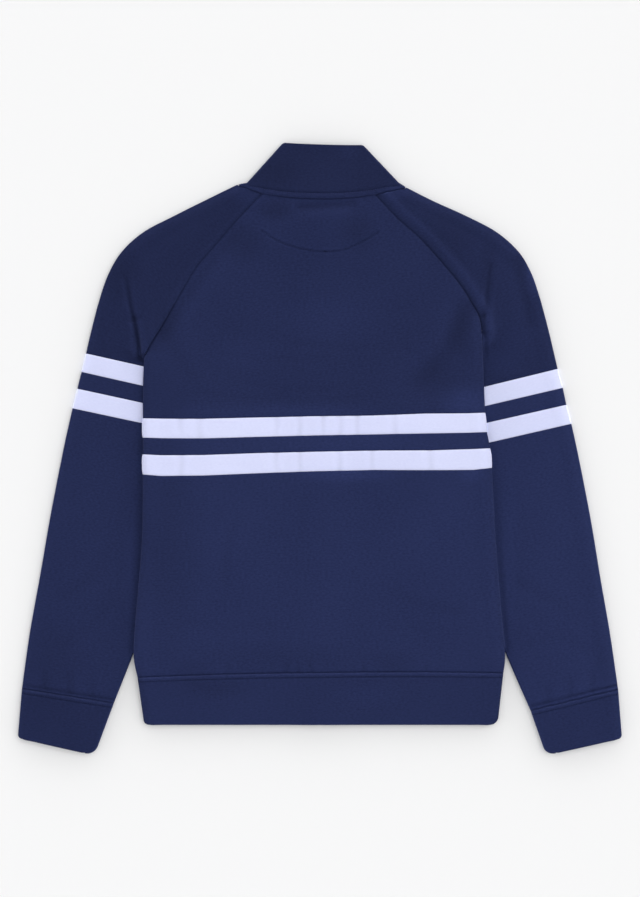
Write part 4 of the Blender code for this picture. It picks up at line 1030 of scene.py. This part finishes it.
def sleeve_loft(ring, s, x):
    """Distance between the two layers of a sleeve, from its outer edge (s = 0) to its inner one (s = 1)."""
    if not ring.closed:
        return LOFT + SLEEVE_CROWN * np.sin(math.pi * s) ** 2
    reach = abs(ring.outer[0]) - max(body_edge(ring.back[1]) + UNDER_BODY_MARGIN, abs(ring.back[0]))
    shown = np.minimum(1.0, (abs(ring.outer[0]) - np.abs(x)) / max(reach, LEAST_REACH))
    return mix(LOFT, ring.loft, ease(shown)) + SLEEVE_CROWN * np.sin(math.pi * shown) ** 2


def sleeve_layer(ring, upper, s):
    """One layer of a ring from its outer to its inner edge."""
    inner = ring.back if upper else ring.front
    length = math.dist(inner, ring.outer)
    direction = (inner - ring.outer) / length
    start = ring.wall / 2 + LOFT / 2
    end = length - (ring.wall / 2 + ring.loft / 2 if ring.closed else 0.0)
    distance = mix(start, end, s)
    x, y = ring.outer[0] + direction[0] * distance, ring.outer[1] + direction[1] * distance
    height = np.full(len(s), WALL / 2)
    if upper:
        height = height + sleeve_loft(ring, s, x) + rolled(distance)
    if ring.fade:
        own = WALL / 2 + (ring.loft if upper else 0.0)
        body = float((back_height if upper else front_height)(inner[0], inner[1]))
        body -= (1 if upper else -1) * ring.turn * (LOFT - LOBE_LOFT) / 2
        height = mix(mix(own, body, ring.fade), height, ease((end - distance) / SEAM_RAMP))
    return np.stack([x, y, height + (ring.wall - WALL) / 2], 1), direction


def sleeve_grid(rings, first, last, lines=SLEEVE_LINES, under_lines=SLEEVE_UNDER_LINES):
    """Points round a sleeve, row by row: the upper layer from its inner edge out, the outer fold, the lower
    layer back in, and the inner fold."""
    grid = []
    for ring in rings:
        upper, inward = sleeve_layer(ring, True, UPPER_STEPS)
        lower, under_inward = sleeve_layer(ring, False, UNDER_STEPS)
        out = -(inward + under_inward)
        out = np.array((*(out / np.linalg.norm(out)), 0.0))
        a = OUTER_TURNS[:, None]
        level = mix(lower[:1], upper[:1], (1.0 + np.cos(a)) / 2)
        outer_fold = level + out * (LOFT / 2) * np.sin(a)
        reach = (upper[-1, 2] - lower[-1, 2]) / 2 if ring.closed else -(ring.wall / 2 + SEAM)
        a = INNER_TURNS[:, None]
        level = mix(lower[-1:], upper[-1:], (1.0 + np.cos(a)) / 2)
        inner_fold = level + np.array((*inward, 0.0)) * reach * np.sin(a)
        grid.append(np.concatenate([upper[::-1], outer_fold, lower, inner_fold]))
    grid = np.array(grid)
    facing = np.concatenate([
        np.ones(len(UPPER_STEPS)), np.cos(OUTER_TURNS), -np.ones(len(UNDER_STEPS)), np.cos(INNER_TURNS),
    ])
    x, y = grid[..., 0], grid[..., 1]
    lift = np.where(facing > 0, relief(x, y, lines), relief(x, y, under_lines))
    lift = lift + end_ditches(grid, first, last)
    press(grid, facing, lift)
    grid[..., 2] = np.where(facing > FACES_UP, np.maximum(grid[..., 2], PRESSED_FLAT), grid[..., 2])
    return grid, lift


# The shades say how much lighter or darker each stretch's colour is painted than the back's: painted light
# and shade, the right sleeve lit more than the left.
Sleeve = namedtuple("Sleeve", "side label cuts upper_shade middle_shade lower_shade cuff_shade")
SLEEVES = (
    Sleeve(-1, "left", LEFT_SLEEVE, 0.82, 1.01, 1.02, 0.88),
    Sleeve(1, "right", RIGHT_SLEEVE, 0.89, 1.16, 1.16, 1.02),
)
SLEEVE_MIDDLE = len(UPPER_STEPS) // 2
for sleeve in SLEEVES:
    name = f"sleeve_{sleeve.label}"
    open_rings = cap_rings(sleeve.side)
    tube = arm_rings(sleeve.cuts, "armpit", "upper_top", FINE, False)[1:]
    grid, lift = sleeve_grid(ring_ends(open_rings + tube), NECK_DITCH, STRIP_DITCH)
    cloth(name + "_upper_cloth", grid, lift, sleeve.upper_shade, WALL, navy_knit, [name + "_upper"],
          SLEEVE_MIDDLE, True, len(open_rings) - 1)
    for strip in STRIPS:
        rings = ring_ends(arm_rings(sleeve.cuts, strip.top, strip.bottom))
        grid, lift = sleeve_grid(rings, STRIP_DITCH, STRIP_DITCH)
        look, shade = (pale_knit, 1.0) if strip.is_band else (navy_knit, sleeve.middle_shade)
        cloth(f"{name}_{strip.name}_cloth", grid, lift, shade, WALL, look, [f"{name}_{strip.name}"],
              SLEEVE_MIDDLE, True)
    rings = ring_ends(arm_rings(sleeve.cuts, "lower_bottom", "cuff_seam"))
    grid, lift = sleeve_grid(rings, STRIP_DITCH, WAIST_DITCH)
    cloth(name + "_lower_cloth", grid, lift, sleeve.lower_shade, WALL, navy_knit, [name + "_lower"],
          SLEEVE_MIDDLE, True)


# ==== Cuffs ==========================================================================================
# Bands of the same knit folded double, 2 mm thick, sewn to the sleeves and stitched down less than 6 mm
# from the seam. Their free edge is a fold and their corners are soft.
BAND_WALL = 0.0020
CUFF_ENDS = {
    "left": Cut("cuff_end", -0.3822, -0.3656, -0.2849, -0.3876, LOFT),
    "right": Cut("cuff_end", 0.3819, -0.3660, 0.2857, -0.3876, LOFT),
}
CUFF_OUTER_RADIUS = 0.0035
CUFF_INNER_RADIUS = 0.0100
STITCHED = 0.0110        # how far the cloth turned under along the seam reaches
STITCHED_FINE = 0.0010
EDGE_REACH = 0.0060      # from a soft corner to where the free edge is let down in full
BAND_RIDGE = 0.00034     # how far the cloth turned under along the seam stands up
FLUSH_REACH = 0.0016     # how far from the seam the band is still as low as the thinner cloth
STITCH_DENT_WIDTH = 0.0013
SLOPE_AT = 0.0012        # the middle of the slope up from the seam, where shade is painted, and half its width
SLOPE_REACH = 0.0022

# How a band is stitched down: from its seam to the row of stitches, how far along the cloth turned under
# stands highest, how much highlight is painted there and how much shade on the slope up from the seam, and
# how deep the stitches pull, which is painted darker too.
StitchedDown = namedtuple("StitchedDown", "stitch crown light dark dent")
CUFF_STITCHED = StitchedDown(stitch=0.0056, crown=0.55, light=0.00055, dark=0.0009, dent=0.0009)


def band_places(length, radius):
    """Places from 0 to 1 along a band from its seam to its free edge, close together from the seam to the
    row of stitches and at its soft corners."""
    stitched = spaced(STITCHED, STITCHED_FINE, True) * STITCHED
    rest = length - radius - STITCHED
    plain = STITCHED + spaced(rest, FINE)[1:] * rest
    corner = length - radius * (1.0 - np.sin(np.radians((15.0, 30.0, 45.0, 60.0, 75.0, 90.0))))
    return np.concatenate([stitched, plain, corner]) / length


def corner_inset(from_edge, radius):
    """How far a corner of a radius is cut back, at a distance from the free edge."""
    inside = max(0.0, radius - from_edge)
    return radius - math.sqrt(max(0.0, radius ** 2 - inside ** 2))


def band_relief(grid, band):
    """How far a band is raised along its seam, and the light and shade painted there: a painted highlight on
    the cloth turned under, painted shade on the slope up from the seam and in the stitches' dent.
    The cloth turned under stands up between the seam and the row of stitches; at the seam the band is flush
    with the thinner piece."""
    down = lengths_along(grid, 0)
    ridge = hill((down - band.stitch * band.crown) / (band.stitch * 0.5))
    dent = band.dent * np.exp(-(((down - band.stitch) / STITCH_DENT_WIDTH) ** 2))
    flush = (BAND_WALL - WALL) * np.exp(-((down / FLUSH_REACH) ** 2))
    slope = hill((down - SLOPE_AT) / SLOPE_REACH)
    return BAND_RIDGE * ridge - dent - flush, band.light * ridge - band.dark * slope - dent


def line_at(grid, distance, first, last):
    """The line at a distance from a grid's first row, between two of its columns."""
    down = lengths_along(grid, 0)
    return np.array([
        [np.interp(distance, down[:, c], grid[:, c, k]) for k in range(3)] for c in range(first, last)
    ])


def let_down(grid, direction):
    """Lets down a band's free edge between its soft corners, whose rounded wall stands out by half its
    thickness."""
    edge = grid[-1]
    ends = edge[edge[:, 0].argmin()], edge[edge[:, 0].argmax()]
    away = np.minimum(*(np.hypot(edge[:, 0] - end[0], edge[:, 1] - end[1]) for end in ends))
    edge[:, :2] += BAND_WALL / 2 * ease(away / EDGE_REACH)[:, None] * direction


cuff_grids = {}
for sleeve in SLEEVES:
    seam_cut = np.array(along(sleeve.cuts, 1.0))
    end_cut = np.array(CUFF_ENDS[sleeve.label][1:])
    length = math.dist(seam_cut[:2], end_cut[:2])
    rings = []
    for t in band_places(length, CUFF_INNER_RADIUS):
        outer = mix(seam_cut[:2], end_cut[:2], t)
        inner = mix(seam_cut[2:4], end_cut[2:4], t)
        inward = (inner - outer) / math.dist(inner, outer)
        from_edge = (1.0 - t) * length
        outer = outer + inward * corner_inset(from_edge, CUFF_OUTER_RADIUS)
        inner = inner - inward * corner_inset(from_edge, CUFF_INNER_RADIUS)
        rings.append(Ring(outer, inner, inner, LOFT, True, BAND_WALL, 0.0, 0.0))
    rings[0] = ring_ends(rings)[0]
    grid, lift = sleeve_grid(rings, WAIST_DITCH, 0.0, (), ())
    let_down(grid, (rings[-1].outer - rings[0].outer) / length)
    facing = np.where(np.arange(grid.shape[1]) < len(UPPER_STEPS), 1.0, 0.0)
    raised, nap_and_painted_light = band_relief(grid, CUFF_STITCHED)
    press(grid, facing, raised)
    name = "cuff_" + sleeve.label
    cuff_grids[name] = grid
    # The cuff gets the band's painted highlight and shade.
    lift = lift + nap_and_painted_light * facing
    cloth(name + "_cloth", grid, lift, sleeve.cuff_shade, BAND_WALL, navy_knit, [name],
          SLEEVE_MIDDLE, True)


# ==== Collar =========================================================================================
# A stand collar, one band of the knit folded double. It is folded at both sides where it turns from the
# back to the fronts, and its front halves reach down to the top of the zip.
COLLAR_FOLD_LOW = ((-0.0967, 0.3306), (0.1054, 0.3296))
COLLAR_FOLD_TOP = ((-0.0456, 0.3872), (0.0533, 0.3845))
COLLAR_SAG = 0.0009      # how far its top edge sags on the back
COLLAR_TOP_PULL = ((0.0560, 0.3350), (0.0400, 0.3030))    # these draw the curve of its top edge on the
COLLAR_END_Y = 0.3005                                     # fronts, down to its end at the zip
COLLAR_CORNER = 0.0035   # from the last of a front's even columns almost to its raglan seam
COLLAR_EVENNESS = 0.8    # below 1 a front half's columns crowd towards the zip at the top
COLLAR_CUT = 0.0053      # how much shorter the outermost line of a side fold is, so its corner is soft
COLLAR_CUT_EVENNESS = 1.2
COLLAR_FLARES = ((-0.0066, 0.0022), (0.0030, 0.0002))     # how far the seam spreads the lower corners,
COLLAR_FLARE_REACHES = (0.0065, 0.0090)                   # and how far up the folds
COLLAR_FLARE_WIDTH = 0.020
COLLAR_STITCHED = StitchedDown(stitch=0.0072, crown=0.33, light=0.0011, dark=0.0, dent=0.0006)
# The collar's colour is painted darker than the back's: painted shade.
COLLAR_SHADE = 0.78
COLLAR_HEIGHT = 0.062
COLLAR_TOP_REACH = 0.0060    # its rows are closer together this far below its top edge
COLLAR_ROWS = band_places(COLLAR_HEIGHT, COLLAR_TOP_REACH)
FRONT_CORNER_COLUMNS = 9     # from a front's raglan seam to the side fold
LEFT_CORNER_COLUMNS = 11     # and from the side folds to the back's raglan seams
RIGHT_CORNER_COLUMNS = 15


def collar_column(low, top, height, outward=None, turn=None):
    """Points from the neck seam up to the collar's top edge; turn is the angle round a side fold."""
    rise = (BAND_WALL - WALL) / 2
    upward = (top - low) / math.dist(low, top)
    low = low + upward * SEAM
    if turn is not None:
        outermost = 1.0 - abs(2.0 * turn / math.pi - 1.0)
        top = top - upward * COLLAR_CUT * outermost ** COLLAR_CUT_EVENNESS
    x, y = mix(low[0], top[0], COLLAR_ROWS), mix(low[1], top[1], COLLAR_ROWS)
    if turn is None:
        return np.stack([x, y, height(x, y) + rise], 1)
    half = LOFT / 2
    z = front_height(x, y) + rise + half + half * math.cos(turn)
    return np.stack([x + outward[0] * half * math.sin(turn), y + outward[1] * half * math.sin(turn), z], 1)


def collar_front(side, fold_low, fold_top):
    """Columns of one front half of the collar, from the zip to its side fold."""
    row = FRONT_RAGLAN[0]
    side_x, side_y = (row.left_x, row.left_y) if side < 0 else (row.right_x, row.right_y)
    x = mix(side * ZIP_EDGE, side_x - side * FLAT_EDGE[0], FRONT_STEPS)
    y = mix(ZIP_AT_NECK, side_y, FRONT_STEPS ** (1.0 + NECK_SCOOP))
    lows = list(np.stack([x, y], 1))
    corner = lows[-1] + np.array((side * COLLAR_CORNER, 0.0))
    lows += [mix(corner, fold_low, t) for t in np.linspace(0.0, 1.0, FRONT_CORNER_COLUMNS)]
    lengths = path_lengths(lows)
    pull = [np.array((side * px, py)) for px, py in COLLAR_TOP_PULL]
    end = np.array((side * ZIP_EDGE, COLLAR_END_Y))
    columns = []
    for low, length in zip(lows, lengths):
        t = (1.0 - length / lengths[-1]) ** COLLAR_EVENNESS
        top = (
            fold_top * (1 - t) ** 3 + pull[0] * 3 * t * (1 - t) ** 2
            + pull[1] * 3 * t * t * (1 - t) + end * t ** 3
        )
        columns.append(collar_column(low, top, front_height))
    return columns


folds = []
for low, top in zip(COLLAR_FOLD_LOW, COLLAR_FOLD_TOP):
    low, top = np.array(low), np.array(top)
    outward = np.array((low[1] - top[1], top[0] - low[0])) / math.dist(low, top)
    outward = outward if outward[0] * low[0] > 0 else -outward
    inset = BAND_WALL / 2 + LOFT / 2
    folds.append((low - outward * inset, top - outward * inset, outward))
(left_low, left_top, left_out), (right_low, right_top, right_out) = folds
columns = collar_front(-1, left_low, left_top)
for degrees in FOLD_TURNS:
    columns.append(collar_column(left_low, left_top, None, left_out, math.radians(degrees)))
first_back = len(columns)
neck = BodyRow(*BACK_RAGLAN[0], NECK_SAG, 0.0, STRAIGHT)
neck_left, neck_right = np.array((neck.left_x, neck.left_y)), np.array((neck.right_x, neck.right_y))
seam_x, seam_y = mix(neck.left_x, neck.right_x, BACK_STEPS), row_y(neck, BACK_STEPS)
lows = [mix(left_low, neck_left, t) for t in np.linspace(0.0, 1.0, LEFT_CORNER_COLUMNS)[:-1]]
lows += list(np.stack([seam_x, seam_y], 1))[::2]
lows += [mix(neck_right, right_low, t) for t in np.linspace(0.0, 1.0, RIGHT_CORNER_COLUMNS)[1:]]
for low in lows:
    t = (low[0] - left_low[0]) / (right_low[0] - left_low[0])
    top = mix(left_top, right_top, t) - np.array((0.0, COLLAR_SAG * 4 * t * (1 - t)))
    columns.append(collar_column(low, top, back_height))
last_back = len(columns)
for degrees in reversed(FOLD_TURNS):
    columns.append(collar_column(right_low, right_top, None, right_out, math.radians(degrees)))
columns += reversed(collar_front(1, right_low, right_top))
collar_grid = np.stack(columns, 1)
up_the_collar = lengths_along(collar_grid, 0)
for fold_low, flare, reach in zip((left_low, right_low), COLLAR_FLARES, COLLAR_FLARE_REACHES):
    from_fold = np.hypot(collar_grid[:1, :, 0] - fold_low[0], collar_grid[:1, :, 1] - fold_low[1])
    share = hill(up_the_collar / reach) * hill(from_fold / COLLAR_FLARE_WIDTH)
    collar_grid[..., :2] += share[..., None] * np.array(flare)
on_back = (np.arange(len(columns)) >= first_back) & (np.arange(len(columns)) < last_back)
facing = np.where(on_back, 1.0, 0.0)
raised, nap_and_painted_light = band_relief(collar_grid, COLLAR_STITCHED)
ditch = end_ditches(collar_grid, NECK_DITCH, 0.0)
press(collar_grid, facing, raised + ditch)
collar_line = line_at(collar_grid, COLLAR_STITCHED.stitch, first_back, last_back)
# The collar's back gets the band's painted highlight and shade, and painted shade in the neck ditch.
cloth("collar_cloth", collar_grid, (nap_and_painted_light + ditch) * facing, COLLAR_SHADE, BAND_WALL, navy_knit, ["collar"],
      (first_back + last_back) // 2)


# ==== Waistband ======================================================================================
# One band of the knit folded double, from one edge of the zip round the hips to the other. It is stitched
# down less than 6 mm below its seam, and its lower corners are soft.
WAIST_STITCHED = CUFF_STITCHED._replace(stitch=0.0057)
# The waistband's colour is painted a little lighter than the back's: painted light.
WAIST_SHADE = 1.04
HEM_LEFT = (-0.2225, HEM_Y)
HEM_RIGHT = (0.2248, HEM_Y)
HEM_LEFT_RADIUS = 0.0045
HEM_RIGHT_RADIUS = 0.0080

waist = SIDES[-1]
waist_length = waist.left_y - HEM_Y
rows = []
for t in band_places(waist_length, HEM_RIGHT_RADIUS):
    from_edge = (1.0 - t) * waist_length
    rows.append(BodyRow(
        mix(waist.left_x, HEM_LEFT[0], t) + corner_inset(from_edge, HEM_LEFT_RADIUS),
        mix(waist.left_y - SEAM / 2, HEM_Y + BAND_WALL / 2, t),
        mix(waist.right_x, HEM_RIGHT[0], t) - corner_inset(from_edge, HEM_RIGHT_RADIUS),
        mix(waist.right_y - SEAM / 2, HEM_Y + BAND_WALL / 2, t),
        mix(waist.sag, 0.0, t), 1.0, STRAIGHT,
    ))
waist_grid, lift = round_grid(rows, BAND_WALL, (), WAIST_DITCH, 0.0)
let_down(waist_grid, np.array((0.0, -1.0)))
front_columns = len(FRONT_STEPS) + len(FOLD_TURNS)
on_back = np.zeros(waist_grid.shape[1])
on_back[front_columns:-front_columns] = 1.0
raised, nap_and_painted_light = band_relief(waist_grid, WAIST_STITCHED)
press(waist_grid, on_back, raised)
waist_line = line_at(waist_grid, WAIST_STITCHED.stitch, front_columns, len(on_back) - front_columns)
# The waistband's back gets the band's painted highlight and shade.
lift = lift + nap_and_painted_light * on_back
cloth("waistband_cloth", waist_grid, lift, WAIST_SHADE, BAND_WALL, navy_knit, ["waistband"],
      waist_grid.shape[1] // 2)


# ==== Zip ============================================================================================
# Two woven polyester tapes with moulded teeth, sewn under the edges of the fronts. The slider is at the
# top, cast in zinc and nickel plated, with a pull tab on its bridge; a small box ends the zip at the hem.
TAPE_TOP = SLIDER_Y + 0.0045    # the tapes run from a little above the slider
TAPE_END = HEM_Y + 0.0065       # down to a little above the hem
TAPE_SPLIT = 0.0016      # half the gap between the tapes above the slider
TAPE_WALL = 0.0010
TAPE_BOTTOM = 0.0023
TAPE_STEPS = (0.0, 0.0012, 0.0026, 0.0045, 0.0070, 0.0100, 0.0130)
TAPE_CORD = 0.0009       # the corded edge that the teeth are moulded on
TAPE_ROWS = 214
TAPE_MIDDLE = 3          # the column that its weave runs along
TWILL = 0.0011
TOOTH_PITCH = 0.0024
TOOTH_HEIGHT = 0.0021
FIRST_TOOTH = 0.0012     # above the lower end of the tape
LAST_TOOTH = 0.0060      # below the middle of the slider
CAST_EDGE = 0.00018      # rounded off at the edges of the cast pieces
CAST_EDGE_ANGLE = 40.0
TOOTH_OUTLINE = (
    (0.0024, 0.00045), (0.0007, 0.00045), (0.0002, 0.00062), (-0.0006, 0.00058), (-0.0009, 0.00030),
)


def tape_height(y):
    """Middle of the zip tapes above the table."""
    return TAPE_BOTTOM + TAPE_WALL / 2 + SLIDER_LIFT * hill((y - SLIDER_Y) / SLIDER_REACH_Y)


def joined_mesh(name, points, faces, look):
    """Many small things as one piece of the jacket."""
    mesh = bpy.data.meshes.new(name)
    mesh.from_pydata(points, [], faces)
    made = bpy.data.objects.new(name, mesh)
    bpy.context.scene.collection.objects.link(made)
    mesh.materials.append(look)
    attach(made, "jacket")
    return made


def mottled(name, slot_name, roughness, scale, dark, light):
    """A plain material whose colour varies a little from place to place; returns it and its shader."""
    made, shader, start = new_material(name, slot_name, roughness)
    place_in_body = start.node("ShaderNodeTexCoord", {}, {}, output=3)
    place_in_body.noise(scale, 2.0).blend(dark, light).feed(shader, "Base Color")
    return made, shader


zip_weave, shader, start = new_material("zip_weave", "zip_tape", 0.78)
cut = start.node("ShaderNodeUVMap", {"uv_map": "cut"}, {})
rib = wave((cut.part(0) + cut.part(1)) / TWILL)
rib.blend((0.0080, 0.0115, 0.0370), (0.0170, 0.0240, 0.0700)).feed(shader, "Base Color")
weave_bump = start.node("ShaderNodeBump", {}, {"Strength": 0.5, "Distance": 0.0003, "Height": rib})
weave_bump.feed(shader, "Normal")

tooth_plastic, shader = mottled(
    "tooth_plastic", "zip_tape", 0.38, 700.0, (0.0060, 0.0085, 0.0260), (0.0140, 0.0190, 0.0520)
)

for side, label in ((-1, "left"), (1, "right")):
    grid = []
    for y in np.linspace(TAPE_TOP, TAPE_END, TAPE_ROWS):
        inner = TAPE_SPLIT if y > SLIDER_Y else SEAM / 2
        x = np.maximum(inner, np.array(TAPE_STEPS))
        x[:2] = (inner, inner + TAPE_CORD)
        grid.append(np.stack([side * x, np.full(len(x), y), np.full(len(x), tape_height(y))], 1))
    grid = np.array(grid)
    cloth(f"zip_tape_{label}_cloth", grid, np.zeros(grid.shape[:2]), 1.0, TAPE_WALL, zip_weave,
          [f"zip_tape_{label}"], TAPE_MIDDLE)
    points, faces = [], []
    outline = list(TOOTH_OUTLINE) + [(x, -w) for x, w in reversed(TOOTH_OUTLINE)]
    count = len(outline)
    y = TAPE_END + FIRST_TOOTH + (TOOTH_PITCH / 2 if side > 0 else 0.0)
    while y < SLIDER_Y - LAST_TOOTH:
        base = len(points)
        for z in (-TOOTH_HEIGHT / 2, TOOTH_HEIGHT / 2):
            points += [(side * x, y + w, float(tape_height(y)) + z) for x, w in outline]
        lower = [base + k for k in range(count)]
        turned = lower if side > 0 else lower[::-1]
        faces += [turned, [v + count for v in turned[::-1]]]
        for a, b in zip(turned, turned[1:] + turned[:1]):
            faces.append([b, a, a + count, b + count])
        y += TOOTH_PITCH
    joined_mesh(f"zip_teeth_{label}", points, faces, tooth_plastic)

nickel, shader, start = new_material("nickel_plate", "zip_metal", 0.30, 1.0)
place_in_body = start.node("ShaderNodeTexCoord", {}, {}, output=3)
wear = place_in_body.noise(350.0, 4.0)
scratches = place_in_body.noise(1900.0, 2.0)
wear.blend((0.44, 0.43, 0.42), (0.66, 0.65, 0.63)).feed(shader, "Base Color")
(0.22 + wear * 0.20).feed(shader, "Roughness")
metal_bump = start.node("ShaderNodeBump", {}, {"Strength": 0.15, "Distance": 0.00005, "Height": scratches})
metal_bump.feed(shader, "Normal")
for name in ("zip_slider", "zip_pull_tab", "zip_box"):
    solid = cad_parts[name]
    solid.material_slots[0].material = nickel
    soften_edges(solid, CAST_EDGE, CAST_EDGE_ANGLE)


# ==== Stitching ======================================================================================
# Polyester thread in the colour of the knit: one row along the collar, the waistband and each cuff, and
# the half-moon below the back neck.
STITCH = 0.0024          # one stitch, and the step from one to the next
STITCH_STEP = 0.0030
THREAD = 0.00030         # half its thickness
THREAD_SIDES = 6
THREAD_FLATNESS = 0.8
THREAD_RISE = 0.3        # the thread is pulled down at a stitch's ends and rises by this in its middle
SPINDLE = ((0.0, 0.35), (0.25, 1.0), (0.75, 1.0), (1.0, 0.35))    # how thick a stitch is along its length

thread_navy, shader = mottled(
    "thread_navy", "navy_knit", 0.55, 3000.0, (0.0100, 0.0150, 0.0560), (0.0220, 0.0300, 0.0950)
)
shader.inputs["Specular IOR Level"].default_value = MATT


def stitch_row(name, line):
    """A row of stitches along a line, each a short spindle of thread lying on the cloth."""
    lengths = path_lengths(line)
    points, faces = [], []
    for start_at in np.arange(STITCH_STEP / 2, lengths[-1] - STITCH, STITCH_STEP):
        places = [start_at + t * STITCH for t, _ in SPINDLE]
        middles = [Vector([np.interp(at, lengths, line[:, k]) for k in range(3)]) for at in places]
        beside = (middles[-1] - middles[0]).cross(Vector((0.0, 0.0, 1.0))).normalized()
        base = len(points)
        for middle, (_, share) in zip(middles, SPINDLE):
            for k in range(THREAD_SIDES):
                a = math.tau * k / THREAD_SIDES
                rise = Vector((0.0, 0.0, math.sin(a) * THREAD_FLATNESS + THREAD_RISE * share))
                points.append(middle + (beside * math.cos(a) + rise) * THREAD * share)
        for ring in range(len(SPINDLE) - 1):
            for k in range(THREAD_SIDES):
                a = base + ring * THREAD_SIDES + k
                b = base + ring * THREAD_SIDES + (k + 1) % THREAD_SIDES
                faces.append((a, b, b + THREAD_SIDES, a + THREAD_SIDES))
        last = len(points) - THREAD_SIDES
        faces.append(tuple(base + k for k in reversed(range(THREAD_SIDES))))
        faces.append(tuple(last + k for k in range(THREAD_SIDES)))
    joined_mesh(name, points, faces, thread_navy).data.shade_smooth()


def on_top(line, wall):
    """A line along the middle of a cloth, moved up to its face."""
    return line + np.array((0.0, 0.0, wall / 2))


stitch_row("waistband_stitches", on_top(waist_line, BAND_WALL))
stitch_row("collar_stitches", on_top(collar_line, BAND_WALL))
for name, grid in cuff_grids.items():
    cuff_line = line_at(grid, CUFF_STITCHED.stitch, 0, len(UPPER_STEPS))
    stitch_row(name + "_stitches", on_top(cuff_line, BAND_WALL))
moon = np.array(HALF_MOON)
moon_height = back_height(moon[:, 0], moon[:, 1]) + relief(moon[:, 0], moon[:, 1], UPPER_BACK_LINES)
stitch_row("half_moon_stitches", on_top(np.column_stack([moon, moon_height]), WALL))


# ==== Table, light and camera ========================================================================
# A pale matt table, lit by a bright room with low windows all round and one large soft window to the
# right, and seen from straight above.
TABLE_HALF = 4.0         # half its side, and its distance below the cloth
TABLE_GAP = 0.0002
ROOM_LIGHT = 0.665
LOW_LIGHT = 8.1          # the windows, low round the room and brighter beyond the collar
LOW_LIGHT_SPREAD = 30.0
LOW_LIGHT_SLANT = 0.52
SUN_ANGLE = 50.0         # degrees across, so its shadows are very soft
SUN_HEIGHT = 36.0        # degrees above the table
SUN_TURN = 68.0          # and to the right of the collar
SUN_STRENGTH = 0.84
LENS = 85.0
SENSOR = 36.0
FRAME_HEIGHT = 1.1338    # of the part of the table that is seen, from its lower to its upper edge
FRAME_LEVEL = 0.004      # above the table, where that is measured
FRAME_MIDDLE_Y = -0.0006

floor_mesh = bpy.data.meshes.new("table")
corners = [(x * TABLE_HALF, y * TABLE_HALF, 0.0) for x, y in ((-1, -1), (1, -1), (1, 1), (-1, 1))]
floor_mesh.from_pydata(corners, [], [(0, 1, 2, 3)])
floor = bpy.data.objects.new("table", floor_mesh)
bpy.context.scene.collection.objects.link(floor)
floor.location.z = -TABLE_GAP
pale_table, shader, start = new_material("pale_table", "none", 0.9)
shader.inputs["Base Color"].default_value = (0.86, 0.86, 0.865, 1.0)
floor_mesh.materials.append(pale_table)
floor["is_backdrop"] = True

scene = bpy.context.scene
scene.view_settings.view_transform = "Standard"
world = bpy.data.worlds.new("soft_room")
scene.world = world
world.use_nodes = True
room = world.node_tree.nodes["Background"]
room.inputs["Color"].default_value = (1.0, 1.0, 1.0, 1.0)
start = Shade(world.node_tree)
direction = start.node("ShaderNodeTexCoord", {}, {}, output=0)
towards_collar, height = direction.part(1), direction.part(2)
above_floor = height * height * -LOW_LIGHT_SPREAD
near_floor = above_floor.math("EXPONENT", above_floor)
(ROOM_LIGHT + near_floor * LOW_LIGHT * (1.0 + towards_collar * LOW_LIGHT_SLANT)).feed(room, "Strength")

camera_data = bpy.data.cameras.new("camera")
camera_data.lens = LENS
camera_data.sensor_width = SENSOR
camera = bpy.data.objects.new("camera", camera_data)
scene.collection.objects.link(camera)
camera.location = (0.0, FRAME_MIDDLE_Y, LENS * FRAME_HEIGHT / SENSOR + FRAME_LEVEL)
scene.camera = camera

sun = bpy.data.lights.new("soft_window", "SUN")
sun.angle = math.radians(SUN_ANGLE)
sun.energy = SUN_STRENGTH
window = bpy.data.objects.new("soft_window", sun)
scene.collection.objects.link(window)
window.rotation_euler = (math.radians(90.0 - SUN_HEIGHT), 0.0, math.radians(180.0 - SUN_TURN))

low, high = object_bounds()
